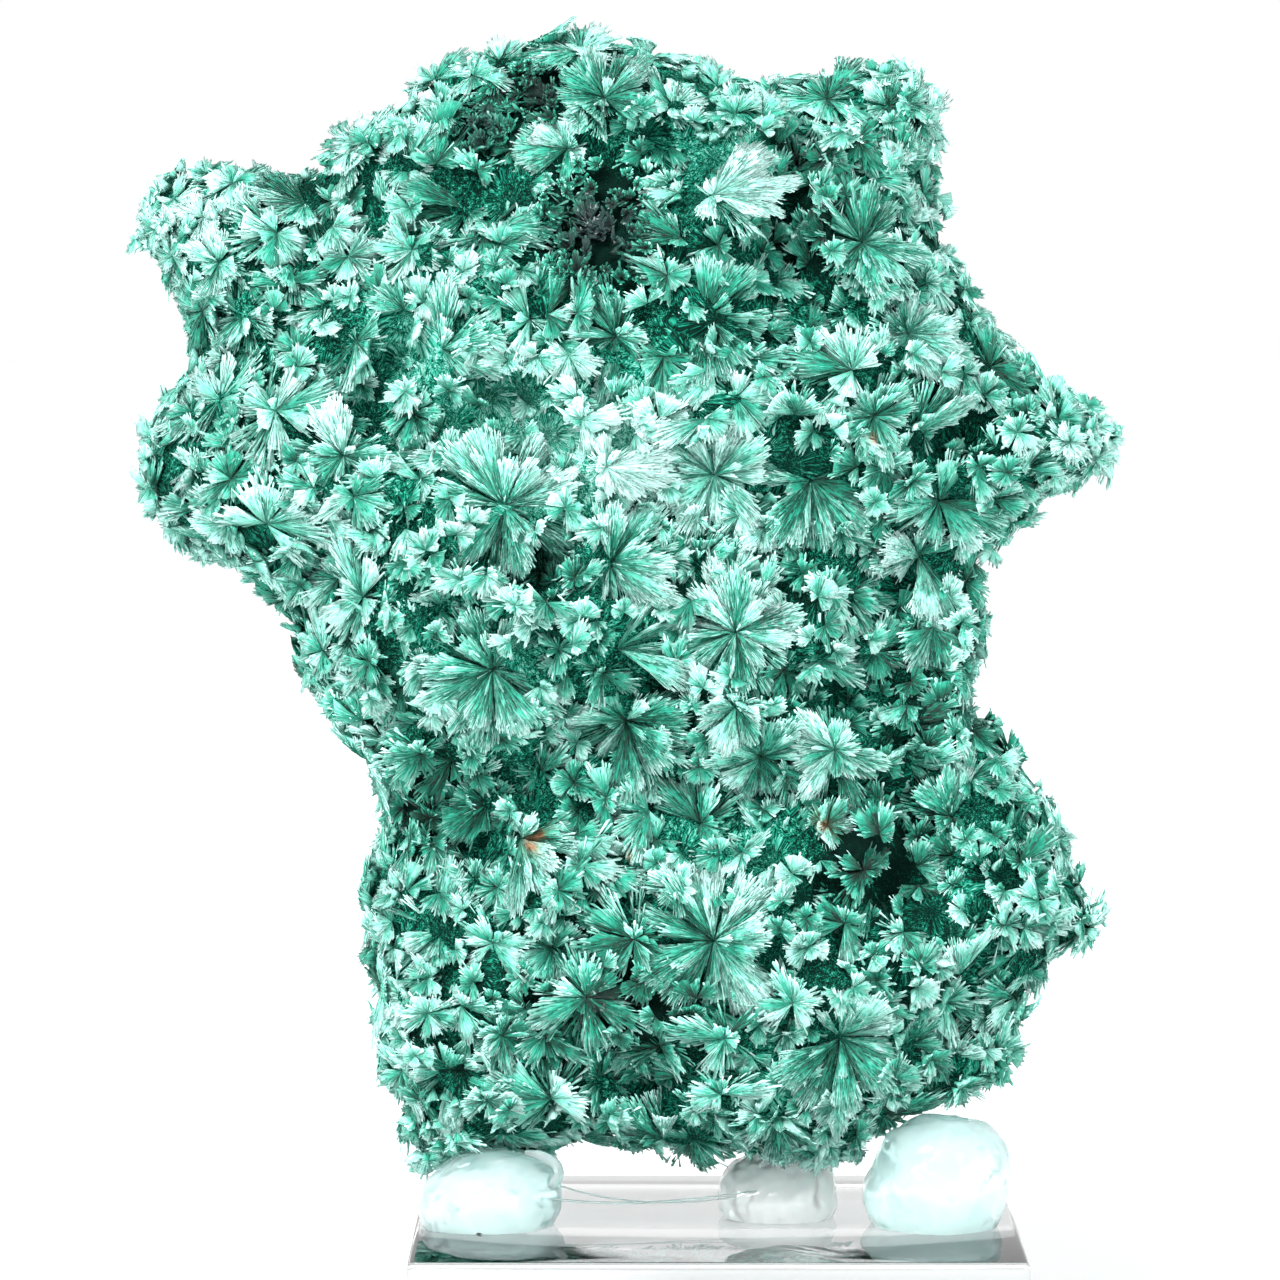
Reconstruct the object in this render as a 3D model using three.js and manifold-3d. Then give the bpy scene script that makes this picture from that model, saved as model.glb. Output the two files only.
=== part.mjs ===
// A fibrous malachite specimen: a lumpy mass covered in radiating sprays of fibres,
// held upright on a clear block by three blobs of clear glue.
// Millimetres, +Z up, the side that faces a viewer is towards -Y.
import * as THREE from "three";
import { mergeVertices } from "three/addons/utils/BufferGeometryUtils.js";
import Module from "manifold-3d";

const wasm = await Module();
wasm.setup();

// Driving dimensions
const BLOCK_WIDTH = 48.4;
const BLOCK_DEPTH = 46;
const BLOCK_HEIGHT = 10;
const BLOCK_CENTRE_X = 7.2;
const BLOCK_BEVEL = 0.6;
const GLUE_GAP = 0.3;
const LUMP_FULLNESS = 0.38; // exponent of a lump's profile: below 0.5 it is fuller than an ellipsoid
const LEAST_RISE = 0.02; // keeps the skin going past the edge of a lump
const PETALS_PER_REACH = 1.05; // petals for each millimetre that a spray reaches
const LEAST_PETALS = 5;
const MOST_PETALS = 8;
const RIDGE_REACH = 0.46; // how far out a petal's ridge has its corner
const VALLEY_REACHES = [0.4, 0.82]; // how far out the gap between two petals has its corners
const VALLEY_DEPTH = 0.22; // how deep it is, as a share of the reach
const MIDDLE_DEPTH = 0.1; // how deep the middle of a spray is sunk, the same way
const PETAL_FILL = 0.7; // share of its sector that a petal fills
const COVER_REACH = 0.9; // how far out a spray covers the ones below it
const LIFT_RANGE = 0.8; // how far sprays of the same height differ
const RIM_STEP = 2.4; // between the points of the jagged rim
const RIM_JAG = 0.8; // how far these points go in and out
const RIM_INSET = 1.2; // how far the front and back edges of the rim lie inside its middle
const RIM_CLEARANCE = 0.2; // between the rim and the nearest corners of the relief
const RIM_THICKNESS = 0.5; // share of the thickness of a lump that the rim takes
const RIM_PLACES = [-1, -0.5, 0, 0.5, 1]; // its rings, from its front edge to its back edge
const LEFT = -40; // the lower left corner of the part that the outline takes up
const BOTTOM = 13;
const GAP_STEP = 3.1; // between the points of the deep places that no spray covers
const GAP_WANDER = 1.6;
const GAP_DEPTH = 2.2; // how deep these lie below the skin
const LEAST_SPACING = 0.62; // between two corners of the relief
const PIT_SIDES = 6;
const BACK_SPACING = 8.4; // between the sprays of the back
const BACK_WANDER = 3.4; // how far they stray from their rows
const ROW_HEIGHT = 0.87; // of staggered rows, as a share of the spacing
const BACK_REACH = 5.2;
const BACK_SEED = 500; // keeps the petals of the back unlike those of the front

// The mass under the sprays: middle and half size of each lump, along x, y and z.
const LUMPS = {
  upper: { at: [0, 0, 78], size: [27, 15, 19] },
  top: { at: [0, 1, 93], size: [19, 10, 10] },
  top_right: { at: [19, 2, 92], size: [6, 7, 10] },
  upper_left_arm: { at: [-27, 5, 84], size: [12, 9, 10.5] },
  left_shoulder: { at: [-26, 0, 69], size: [13, 11, 8] },
  right_arm: { at: [28, 0, 73], size: [11, 8, 6] },
  belly: { at: [-9, -1, 62], size: [17, 15, 14] },
  waist: { at: [6, 0, 56], size: [21, 13, 12] },
  lower: { at: [5, 0, 33], size: [24, 13, 18] },
  lower_right_arm: { at: [28, 2, 36], size: [9, 8, 9.5] },
  lower_left: { at: [-13, 1, 27], size: [8, 9, 13.5] },
};

// The outline of the specimen as seen from the front, clockwise from its upper left tip: x, z.
const OUTLINE = [
  [-38, 93], [-35, 94.2], [-29, 94.6], [-27.3, 92.8], [-24, 95], [-22.5, 97.8], [-19.3, 98.2],
  [-16, 101.2], [-14.5, 103], [-11.5, 103.4], [-7.7, 104.9], [-5.3, 104], [-2.9, 104.6],
  [0.7, 104], [5, 103.4], [7.1, 101.8], [10.7, 101.6], [15, 101], [19.5, 102.4], [22.3, 102.4],
  [24.5, 100.6], [24.8, 97.4], [24.5, 93.4], [25.5, 88.6], [27, 85.8], [28.3, 83], [30, 80.2],
  [32, 78.8], [34.7, 76.4], [37.5, 76], [39.3, 74.4], [39.4, 72.2], [38, 70.2], [35, 68.6],
  [32.3, 66.6], [30.2, 65.4], [30, 63.6], [28.2, 62.8], [27.7, 61], [29, 58.2], [29, 55],
  [27, 53.2], [26.5, 51.6], [30.7, 49], [32.3, 45.8], [35, 43.4], [35.4, 40.6], [36.7, 37.8],
  [38.7, 33.2], [37.5, 31.4], [33.5, 30.2], [33, 27.8], [31.5, 24.6], [30, 20.6], [26.7, 19.2],
  [21, 17.4], [17.5, 13.8], [14, 14.2], [10, 15.2], [5, 15], [1, 16], [-3, 16.6], [-5.7, 15.6],
  [-7.7, 13.4], [-11.8, 14.4], [-15.7, 12.8], [-17, 14.6], [-17.7, 19.8], [-20.5, 21.4],
  [-20, 24.6], [-21, 27.8], [-20.5, 31.8], [-21.4, 35], [-21, 38.2], [-19.3, 40.6],
  [-19.3, 44.6], [-20.6, 47], [-23.7, 50.2], [-26, 54.2], [-26.5, 58.2], [-29, 60.6],
  [-33, 62.8], [-36.5, 64.6], [-38.7, 68.2], [-39.3, 71.8], [-38, 74.6], [-35.7, 77.4],
  [-35.3, 82.2], [-37.3, 85], [-39.3, 88.6], [-39.1, 91.4],
];

// The sprays of the front: the x and z of the middle, the reach of the petals, the fan, and how
// far the spray is raised out of the mass, or sunk. The fan is the way the spray opens, in
// degrees from +X towards +Z, and its spread.
const FULL = [0, 360];
const FRONT_SPRAYS = [
  // upper left arm
  [-33.7, 90.6, 5, FULL, 1], [-36.9, 90, 3.2, FULL, 0], [-30, 91.5, 4.5, FULL, 0],
  [-25.4, 91.3, 6.5, [205, 170], 1], [-22.2, 96, 6, [275, 100], 1], [-36, 85.5, 4, [265, 200], 0],
  [-30.7, 82.8, 5.5, FULL, 1], [-32.5, 87, 5, FULL, 0], [-26.5, 87, 5.5, [190, 200], 1],
  [-23.7, 83.8, 5, [200, 220], 0], [-32.5, 79.5, 5, FULL, -1], [-28.5, 78.5, 4.5, FULL, -1],
  [-35, 75.4, 4.5, FULL, 0], [-31, 75.6, 5.5, [265, 170], 1],
  // top
  [-19.6, 90.7, 5.5, FULL, 0], [-17.4, 94.6, 5, FULL, 0], [-12.3, 91.1, 6.8, FULL, 0],
  [-14.9, 99.6, 4.2, FULL, 0], [-18, 97.5, 3.6, FULL, 0], [-10, 97.4, 4.4, FULL, 0],
  [-7.4, 100.5, 4.5, [125, 160], 1], [-1.6, 100.2, 6, FULL, 1], [-4.8, 96.2, 4.6, FULL, -1],
  [1.6, 94.1, 5.4, [75, 90], 1], [-2.9, 90.6, 4.6, FULL, 0], [-6.5, 89, 3.6, FULL, 0],
  [1.6, 89, 3.6, FULL, 0], [-8.1, 93, 4, FULL, -1], [7, 92.8, 9, [10, 250], 2],
  [3.9, 99.8, 4.6, FULL, 0], [8.7, 99.4, 4.6, FULL, 0], [6.3, 83.2, 8, [0, 220], 1],
  [-0.7, 81.5, 6.6, FULL, 1], [-6.9, 84.5, 4.4, [90, 180], 0], [-8.5, 80, 2.8, FULL, 1],
  [12.1, 79.3, 4.4, FULL, 0], [-5.3, 86.6, 4.6, [270, 150], -1],
  // top right corner and right arm
  [20.8, 99.4, 4, FULL, 0], [22, 95.8, 3.8, FULL, 0], [19, 96.5, 3.6, FULL, 0],
  [18.6, 88.8, 7.4, FULL, 2], [22.8, 90.6, 4, FULL, 0], [22.2, 81.6, 5.8, FULL, 1],
  [17.8, 83.4, 5, FULL, 0], [24, 85.4, 4.4, [10, 160], 0], [25.8, 80.4, 4.5, [20, 160], 0],
  [19.3, 75.2, 6, FULL, 2], [23.1, 73.9, 5.8, [70, 150], 1], [29, 72.6, 3.8, [95, 50], 1],
  [27.6, 71.7, 3.6, FULL, 0], [31.5, 70.7, 4.8, [80, 180], 1], [28.3, 76.6, 4.4, FULL, 0],
  [32, 75, 4.4, FULL, 0], [35.3, 73, 4.4, FULL, 0], [34, 70.6, 4, FULL, 0],
  [27.6, 70.2, 5.4, [270, 80], 2], [22.9, 69.8, 4.4, FULL, 1], [23.2, 63.8, 6, FULL, 1],
  [24.2, 66, 2.6, FULL, 1], [29.4, 68, 4.4, FULL, 0], [26.8, 65, 4, FULL, 0],
  [15.9, 72.4, 2.8, [0, 140], 2], [14.6, 70, 6.8, FULL, 1], [17.3, 65.7, 4.4, FULL, -1],
  [13.1, 75.4, 5.2, [85, 170], 0], [9.4, 76, 4.4, FULL, 0], [17.9, 61, 5.4, [330, 100], 0],
  [12.6, 59.7, 4.4, FULL, 2], [11, 66.4, 3.8, FULL, 1], [23.1, 58.4, 3.8, FULL, 0],
  [24.6, 54.6, 4.4, FULL, 0], [26, 60.4, 3.4, FULL, -1], [25.8, 56.6, 3.6, FULL, -1],
  [22.4, 52.2, 5, [265, 140], 1], [16.4, 56.7, 3.4, [10, 200], 0], [13.6, 54.4, 3.2, FULL, 0],
  // belly
  [-17.4, 83.4, 5.4, [90, 190], 1], [-17.8, 79.5, 6, FULL, 0], [-14.4, 80.4, 8, [20, 150], 2],
  [-25, 76.8, 4.2, FULL, 1], [-20.8, 77.6, 4, FULL, 0], [-22.2, 72.1, 6.6, FULL, 2],
  [-16.6, 75.4, 5.6, [330, 260], 2], [-31.8, 66, 4.4, FULL, 0], [-35, 71, 4.6, FULL, 0],
  [-25.6, 68.7, 3.8, FULL, 1], [-25.8, 64, 4.2, FULL, 1], [-15.8, 65.3, 4.4, [90, 220], 1],
  [-9.4, 68.3, 9.5, FULL, 2], [-1.4, 71.5, 6, FULL, 2], [2.6, 75, 4.2, FULL, 1],
  [-3.8, 76.8, 3.6, FULL, 1], [0.6, 68, 4, [10, 120], 2], [-1.2, 63.8, 7.6, FULL, 1],
  [6.9, 70.7, 6, FULL, 1], [-20.9, 59.3, 3, FULL, 0], [-19.2, 60.4, 6, [15, 90], 1],
  [-22.4, 57.2, 4.8, [280, 170], 0], [-15.9, 55.2, 4.6, FULL, 0], [-10.4, 55.4, 9.5, FULL, 1],
  [-21.7, 53.1, 3.4, FULL, 0], [-15.7, 50.6, 4.6, FULL, 0], [-12, 48, 4.4, FULL, 0],
  [-19.4, 65.6, 5, [250, 160], 0], [-14.4, 60.4, 4.6, FULL, -1], [-13.6, 72.6, 4.6, FULL, 0],
  [-28.6, 61.8, 3.6, FULL, 0], [8.6, 58.4, 7, FULL, 2], [-0.7, 57.2, 8, [15, 110], 2],
  [0, 51.2, 7, FULL, 1], [8.6, 52.6, 5.2, FULL, 0], [2.2, 46.6, 4.4, FULL, 0],
  [10.6, 48.4, 6, FULL, 1], [5.6, 63.6, 4.8, FULL, 0], [16.6, 49, 6, FULL, 1],
  [-4, 46.6, 4.8, FULL, 0], [-18, 46.6, 4, FULL, 0],
  // lower half
  [-10.9, 44.2, 5.4, FULL, 1], [-17.6, 40.6, 5.4, [320, 170], 0], [-8.3, 42, 8.4, [345, 130], 2],
  [0.2, 40.6, 4, FULL, 1], [-15, 34.1, 6.8, FULL, 0], [-5.8, 33.3, 5.2, FULL, 1],
  [0.2, 31.3, 5.4, FULL, 0], [6.9, 34, 7.8, FULL, 1], [5, 27.6, 4.4, FULL, -2],
  [-1.8, 21.7, 5.4, FULL, -2], [-5.5, 19, 5, [90, 150], 0], [2.9, 16.6, 8, [120, 100], 0],
  [3, 24, 3.4, [80, 120], 0], [-9.8, 26, 5, FULL, 0], [-19, 37, 3.6, FULL, 0],
  [-18.2, 28.6, 4.6, FULL, 0], [-14.6, 22.6, 6.4, FULL, 0], [-15.5, 17, 4.2, FULL, 0],
  [-9.2, 16.4, 4, [270, 220], 0], [11.9, 41, 6.8, FULL, 0], [15.8, 43, 4.6, FULL, 2],
  [19.6, 37.2, 9, [265, 150], 1], [22.9, 39, 4.6, [30, 160], 1], [26, 42.9, 6, FULL, 1],
  [14.4, 33.7, 3.4, FULL, 0], [13, 30.6, 3, FULL, 1], [26.1, 31, 6.4, [110, 100], 1],
  [9.4, 30.4, 3.6, FULL, -1], [12.6, 26.6, 4.6, FULL, 0], [17, 26, 7, FULL, 1],
  [22.8, 24.9, 5.4, FULL, 0], [26.8, 23.6, 4.4, [90, 200], 0], [6, 19.6, 6, [90, 110], 1],
  [11.9, 18.6, 6, FULL, 1], [16.4, 16.4, 3.6, FULL, 0], [32, 34, 5.4, [350, 200], 1],
  [29.6, 38.4, 5.4, FULL, 0], [29, 27, 4.4, FULL, 0], [31.2, 41.6, 4.6, FULL, 0],
  [27.6, 46, 4.8, FULL, 0], [22.4, 47.4, 5.4, FULL, 0], [21.6, 20.8, 4.6, FULL, 0],
  [-12.2, 38.6, 4.8, FULL, 0], [-2.1, 36.6, 4.6, FULL, 0], [17, 20.6, 4.4, FULL, 0],
  [4, 38.4, 4.8, FULL, 0], [-4.6, 27.4, 4.4, FULL, -1], [-11, 20.4, 4.4, FULL, 0],
];

// Holes between the sprays of the front: x, z, radius and depth below the skin.
const PITS = [
  [14.6, 96.6, 2.4, 6], [12.6, 90.4, 1.6, 5], [-8, 64.4, 1.9, 6], [20.4, 56.4, 2, 6],
  [17.4, 53.6, 1.8, 5], [26, 74.4, 1.6, 5], [2.6, 20.4, 2, 6], [20.6, 38.4, 1.2, 5],
  [-12.6, 91, 1.2, 4], [-24, 61.4, 1.3, 4], [-17.6, 79.5, 1.1, 4], [-12, 41.6, 1.6, 5],
];

// Clear glue: middle and half size. Each blob is cut flat where it sits on the block.
const GLUE = {
  glue_left: { at: [-10.6, -4, 11.8], size: [6, 6.5, 4.8] },
  glue_middle: { at: [12.4, 1, 11.4], size: [5, 6, 4.4] },
  glue_right: { at: [24.9, -4, 13], size: [6.2, 7, 6.6] },
};

const GREEN = { color: 0x2fa877, roughness: 0.75, metalness: 0 };
const CLEAR_GLUE = { color: 0xd8f3ee, roughness: 0.15, metalness: 0, transparent: true, opacity: 0.5 };
const CLEAR_BLOCK = { color: 0xf2f8fb, roughness: 0.05, metalness: 0, transparent: true, opacity: 0.3 };

// A closed geometry as a solid that can be joined and cut.
function solidOf(geometry) {
  const bare = geometry.clone();
  bare.deleteAttribute("normal");
  bare.deleteAttribute("uv");
  const merged = mergeVertices(bare, 1e-4);
  const vertProperties = merged.attributes.position.array;
  const triVerts = new Uint32Array(merged.index.array);
  return new wasm.Manifold(new wasm.Mesh({ numProp: 3, vertProperties, triVerts }));
}

// A joined solid as a geometry again.
function geometryOf(solid) {
  const mesh = solid.getMesh();
  const geometry = new THREE.BufferGeometry();
  geometry.setAttribute("position", new THREE.BufferAttribute(mesh.vertProperties, 3));
  geometry.setIndex(new THREE.BufferAttribute(mesh.triVerts, 1));
  geometry.computeVertexNormals();
  return geometry;
}

// A number from 0 to 1 that is always the same for the same pair.
function chance(first, second) {
  const wave = Math.sin(first * 12.9898 + second * 78.233) * 43758.5453;
  return wave - Math.floor(wave);
}

// A blob or the hollow it needs: its middle, its half size and how much larger it is made.
function ellipsoid({ at, size }, grow = 0) {
  const ball = new THREE.IcosahedronGeometry(1, 2);
  ball.scale(size[0] + grow, size[1] + grow, size[2] + grow);
  return ball.translate(...at);
}

// Where the rim of the mass runs at x and z: the depth of its middle and half its thickness.
function rimAt(x, z) {
  let weights = 0;
  let middle = 0;
  let thickness = 0;
  for (const { at, size } of Object.values(LUMPS)) {
    const weight = Math.exp(-2 * (((x - at[0]) / size[0]) ** 2 + ((z - at[2]) / size[2]) ** 2));
    weights += weight;
    middle += weight * at[1];
    thickness += weight * size[1] * RIM_THICKNESS;
  }
  return { middle: middle / weights, half: thickness / weights };
}

// The point of the mass at x and z on the front (side -1) or back (side 1), and its normal.
function skinAt(x, z, side) {
  let best = null;
  for (const { at, size } of Object.values(LUMPS)) {
    const across = (x - at[0]) / size[0];
    const up = (z - at[2]) / size[2];
    const left = 1 - across * across - up * up;
    const rise = Math.max(left, LEAST_RISE) ** LUMP_FULLNESS;
    const y = at[1] + side * size[1] * rise;
    const score = left > 0 ? side * y : left - 100;
    if (best === null || score > best.score) {
      const normal = new THREE.Vector3(across / size[0], (side * rise) / size[1], up / size[2]);
      best = { score, point: new THREE.Vector3(x, y, z), normal: normal.normalize() };
    }
  }
  return best;
}

// The corners of one spray: a sunken middle and, for each petal, a ridge that rises to a blunt
// end, and the gap before the next petal.
function sprayCorners({ x, z, reach, fan, lift, side, seed }) {
  const { point, normal } = skinAt(x, z, side);
  const middle = point.addScaledVector(normal, lift);
  const right = new THREE.Vector3(1, 0, 0);
  right.addScaledVector(normal, -right.dot(normal)).normalize();
  const over = new THREE.Vector3().crossVectors(right, normal).multiplyScalar(side);
  const [facing, spread] = fan;
  const most = Math.min(MOST_PETALS, Math.max(LEAST_PETALS, reach * PETALS_PER_REACH));
  const count = Math.max(2, Math.round((spread / 360) * most));
  const step = THREE.MathUtils.degToRad(spread / count);
  const start = THREE.MathUtils.degToRad(facing - spread / 2);
  const place = (angle, out, rise) =>
    middle
      .clone()
      .addScaledVector(right, Math.cos(angle) * out)
      .addScaledVector(over, Math.sin(angle) * out)
      .addScaledVector(normal, rise);
  const corners = [place(0, 0, -MIDDLE_DEPTH * reach)];
  for (let petal = 0; petal < count; petal++) {
    const centre = start + step * (petal + 0.5);
    const half = (step * PETAL_FILL) / 2;
    const length = reach * (0.84 + 0.26 * chance(seed, petal));
    const rise = reach * (0.2 + 0.16 * chance(seed + 0.5, petal));
    corners.push(place(centre, length * RIDGE_REACH, rise * 0.75));
    corners.push(place(centre - half, length, rise));
    corners.push(place(centre + half, length * 0.96, rise * 0.85));
    for (const out of VALLEY_REACHES) {
      corners.push(place(centre - step / 2, reach * out, -VALLEY_DEPTH * reach));
    }
  }
  return corners;
}

// How far out a corner lies in a spray, as a share of its reach; a fan counts only where it opens.
function shareOut({ x, z, reach, fan }, corner) {
  const facing = THREE.MathUtils.degToRad(fan[0]);
  const angle = Math.atan2(corner.z - z, corner.x - x) - facing;
  const turned = Math.abs(THREE.MathUtils.radToDeg(Math.atan2(Math.sin(angle), Math.cos(angle))));
  return turned > fan[1] / 2 ? Infinity : Math.hypot(corner.x - x, corner.z - z) / reach;
}

// Whether a spray that lies higher covers this corner of another spray.
function covered(corner, spray, sprays) {
  return sprays.some((other) => other.rank > spray.rank && shareOut(other, corner) < COVER_REACH);
}

// A spray with all that its corners need. Raised sprays and large ones lie on the others.
function makeSpray([x, z, reach, fan, raised], side, seed) {
  const rank = 2 * raised + 0.25 * reach + chance(seed, 11);
  return { x, z, reach, fan, side, seed, rank, lift: raised + LIFT_RANGE * chance(seed, 12) };
}

// The sprays of the back, in staggered rows from its lower left corner.
function backSprays() {
  const sprays = [];
  for (let row = 0; row < 13; row++) {
    for (let column = 0; column < 11; column++) {
      const stagger = (row % 2) / 2;
      const x = LEFT + (column + stagger) * BACK_SPACING + BACK_WANDER * (chance(row, column) - 0.5);
      const drift = BACK_WANDER * (chance(column, row + 20) - 0.5);
      const z = BOTTOM + row * BACK_SPACING * ROW_HEIGHT + drift;
      const reach = BACK_REACH * (0.75 + 0.5 * chance(row + 30, column));
      const raised = Math.round(2 * chance(row + 50, column));
      const seed = BACK_SEED + row * 20 + column;
      if (inside(rims[2], { x, z })) sprays.push(makeSpray([x, z, reach, FULL, raised], 1, seed));
    }
  }
  return sprays;
}

// One ring of the rim: points along the outline, by turns a little out and in, like the ends
// of petals. The place is -1 for its front edge, 0 for its middle and 1 for its back edge.
function rimRing(place, ring) {
  const corners = OUTLINE.map(([x, z]) => new THREE.Vector3(x, 0, z));
  const line = new THREE.CatmullRomCurve3(corners, true, "centripetal");
  const count = 2 * Math.round(line.getLength() / RIM_STEP / 2);
  return line.getSpacedPoints(count).slice(0, count).map((point, i) => {
    const along = line.getTangentAt(i / count);
    const turn = (i + ring) % 2 ? -1 : 1;
    const jag = RIM_JAG * (1 - 0.5 * place ** 2) * (0.3 + 1.4 * chance(ring + 3, i));
    const inset = RIM_INSET * place ** 2 + turn * jag;
    point.addScaledVector(new THREE.Vector3(along.z, 0, -along.x), inset);
    const { middle, half } = rimAt(point.x, point.z);
    point.y = middle + half * (place + 0.3 * (chance(ring + 9, i) - 0.5));
    return point;
  });
}

const rims = RIM_PLACES.map(rimRing);

// Whether a point lies inside a ring, seen along Y.
function inside(ring, { x, z }) {
  let within = false;
  ring.forEach((a, i) => {
    const b = ring[(i + 1) % ring.length];
    const crosses = a.z > z !== b.z > z;
    if (crosses && x < ((b.x - a.x) * (z - a.z)) / (b.z - a.z) + a.x) within = !within;
  });
  return within;
}

// Whether a point would come between the two ends of a stretch of a ring.
function crowds(ring, { x, z }) {
  return ring.some((a, i) => {
    const b = ring[(i + 1) % ring.length];
    const radius = Math.hypot(a.x - b.x, a.z - b.z) / 2;
    return Math.hypot(x - (a.x + b.x) / 2, z - (a.z + b.z) / 2) < radius * 1.02 + RIM_CLEARANCE;
  });
}

// The corners of the holes of the front: a deep middle and a floor round it.
function pitCorners() {
  return PITS.flatMap(([x, z, radius, depth]) => {
    const corners = [skinAt(x, z, -1).point.add(new THREE.Vector3(0, depth, 0))];
    for (let i = 0; i < PIT_SIDES; i++) {
      const angle = ((i + chance(x, z)) / PIT_SIDES) * 2 * Math.PI;
      const edge = skinAt(x + Math.cos(angle) * radius, z + Math.sin(angle) * radius, -1).point;
      corners.push(edge.add(new THREE.Vector3(0, depth * 0.6, 0)));
    }
    return corners;
  });
}

// The corners of one side's relief, inside its ring and not too near one another.
function reliefCorners(sprays, ring, side) {
  const wanted = side < 0 ? pitCorners() : [];
  for (const one of sprays.toSorted((a, b) => b.rank - a.rank)) {
    wanted.push(...sprayCorners(one).filter((corner) => !covered(corner, one, sprays)));
  }
  for (let row = 0; row < 31; row++) {
    for (let column = 0; column < 27; column++) {
      const x = LEFT + column * GAP_STEP + GAP_WANDER * (chance(row, column + 60) - 0.5);
      const z = BOTTOM + row * GAP_STEP + GAP_WANDER * (chance(column, row + 90) - 0.5);
      const taken = sprays.some((one) => shareOut(one, { x, z }) < 1.02);
      const { point, normal } = skinAt(x, z, side);
      if (!taken) wanted.push(point.addScaledVector(normal, -GAP_DEPTH));
    }
  }
  const kept = [];
  for (const corner of wanted) {
    const near = (other) => Math.hypot(corner.x - other.x, corner.z - other.z) < LEAST_SPACING;
    if (!inside(ring, corner) || crowds(ring, corner) || kept.some(near)) continue;
    const { middle, half } = rimAt(corner.x, corner.z);
    corner.y = middle + side * Math.max(side * (corner.y - middle), half);
    kept.push(corner);
  }
  return kept;
}

// The Delaunay triangles of points seen along Y: no other point lies in a triangle's circle.
function trianglesOf(points) {
  const far = 1000; // the corners of a triangle that holds all the points
  const all = [...points, { x: -far, z: -far }, { x: far, z: -far }, { x: 0, z: far }];
  const circled = (corners) => {
    const [a, b, c] = corners.map((i) => all[i]);
    const twice = 2 * ((b.x - a.x) * (c.z - a.z) - (b.z - a.z) * (c.x - a.x));
    const ab = b.x ** 2 + b.z ** 2 - a.x ** 2 - a.z ** 2;
    const ac = c.x ** 2 + c.z ** 2 - a.x ** 2 - a.z ** 2;
    const x = (ab * (c.z - a.z) - ac * (b.z - a.z)) / twice;
    const z = (ac * (b.x - a.x) - ab * (c.x - a.x)) / twice;
    return { corners, x, z, square: (a.x - x) ** 2 + (a.z - z) ** 2 };
  };
  let triangles = [circled([points.length, points.length + 1, points.length + 2])];
  points.forEach((point, i) => {
    const open = new Map();
    triangles = triangles.filter(({ corners, x, z, square }) => {
      if ((point.x - x) ** 2 + (point.z - z) ** 2 >= square) return true;
      corners.forEach((from, k) => {
        const to = corners[(k + 1) % 3];
        if (!open.delete(`${to} ${from}`)) open.set(`${from} ${to}`, [from, to]);
      });
      return false;
    });
    for (const [from, to] of open.values()) triangles.push(circled([from, to, i]));
  });
  return triangles.map(({ corners }) => corners).filter((t) => t.every((i) => i < points.length));
}

// The faces of one side's relief, each as three corners in order round its outward side.
function reliefFaces(sprays, ring, side) {
  const points = [...ring, ...reliefCorners(sprays, ring, side)];
  const faces = trianglesOf(points).map((corners) => corners.map((i) => points[i]));
  const kept = faces.filter(([a, b, c]) => {
    return inside(ring, { x: (a.x + b.x + c.x) / 3, z: (a.z + b.z + c.z) / 3 });
  });
  return kept.map(([a, b, c]) => (side < 0 ? [a, b, c] : [a, c, b]));
}

// The faces between two rings of the rim, from the one in front to the one behind it.
function rimFaces(front, behind) {
  return front.flatMap((a, i) => {
    const next = (i + 1) % front.length;
    return [[a, front[next], behind[i]], [front[next], behind[next], behind[i]]];
  });
}

// The mass with its sprays: a front and a back relief, joined by the rim.
function makeMalachite() {
  const frontSprays = FRONT_SPRAYS.map((one, i) => makeSpray(one, -1, i));
  const faces = [
    ...reliefFaces(frontSprays, rims.at(0), -1),
    ...rims.slice(1).flatMap((ring, i) => rimFaces(rims[i], ring)),
    ...reliefFaces(backSprays(), rims.at(-1), 1),
  ];
  let mass = solidOf(new THREE.BufferGeometry().setFromPoints(faces.flat()));
  for (const blob of Object.values(GLUE)) {
    mass = mass.subtract(solidOf(ellipsoid(blob, GLUE_GAP)));
  }
  return mass;
}

// A blob of glue, cut flat on the block's top.
function makeGlue(blob) {
  const below = new THREE.BoxGeometry(BLOCK_WIDTH, BLOCK_DEPTH, BLOCK_HEIGHT);
  below.translate(BLOCK_CENTRE_X, 0, BLOCK_HEIGHT / 2);
  return solidOf(ellipsoid(blob)).subtract(solidOf(below));
}

function makeBlock() {
  const half = { x: BLOCK_WIDTH / 2 - BLOCK_BEVEL, y: BLOCK_DEPTH / 2 - BLOCK_BEVEL };
  const plan = new THREE.Shape([
    new THREE.Vector2(-half.x, -half.y),
    new THREE.Vector2(half.x, -half.y),
    new THREE.Vector2(half.x, half.y),
    new THREE.Vector2(-half.x, half.y),
  ]);
  const block = new THREE.ExtrudeGeometry(plan, {
    depth: BLOCK_HEIGHT - 2 * BLOCK_BEVEL,
    bevelThickness: BLOCK_BEVEL,
    bevelSize: BLOCK_BEVEL,
    bevelSegments: 1,
  });
  return solidOf(block.translate(BLOCK_CENTRE_X, 0, BLOCK_BEVEL));
}

function named(name, solid, finish) {
  const mesh = new THREE.Mesh(geometryOf(solid), new THREE.MeshStandardMaterial(finish));
  mesh.name = name;
  return mesh;
}

const specimen = new THREE.Group();
specimen.add(named("malachite", makeMalachite(), GREEN));
specimen.add(named("acrylic_block", makeBlock(), CLEAR_BLOCK));
for (const [name, blob] of Object.entries(GLUE)) {
  specimen.add(named(name, makeGlue(blob), CLEAR_GLUE));
}

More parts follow.
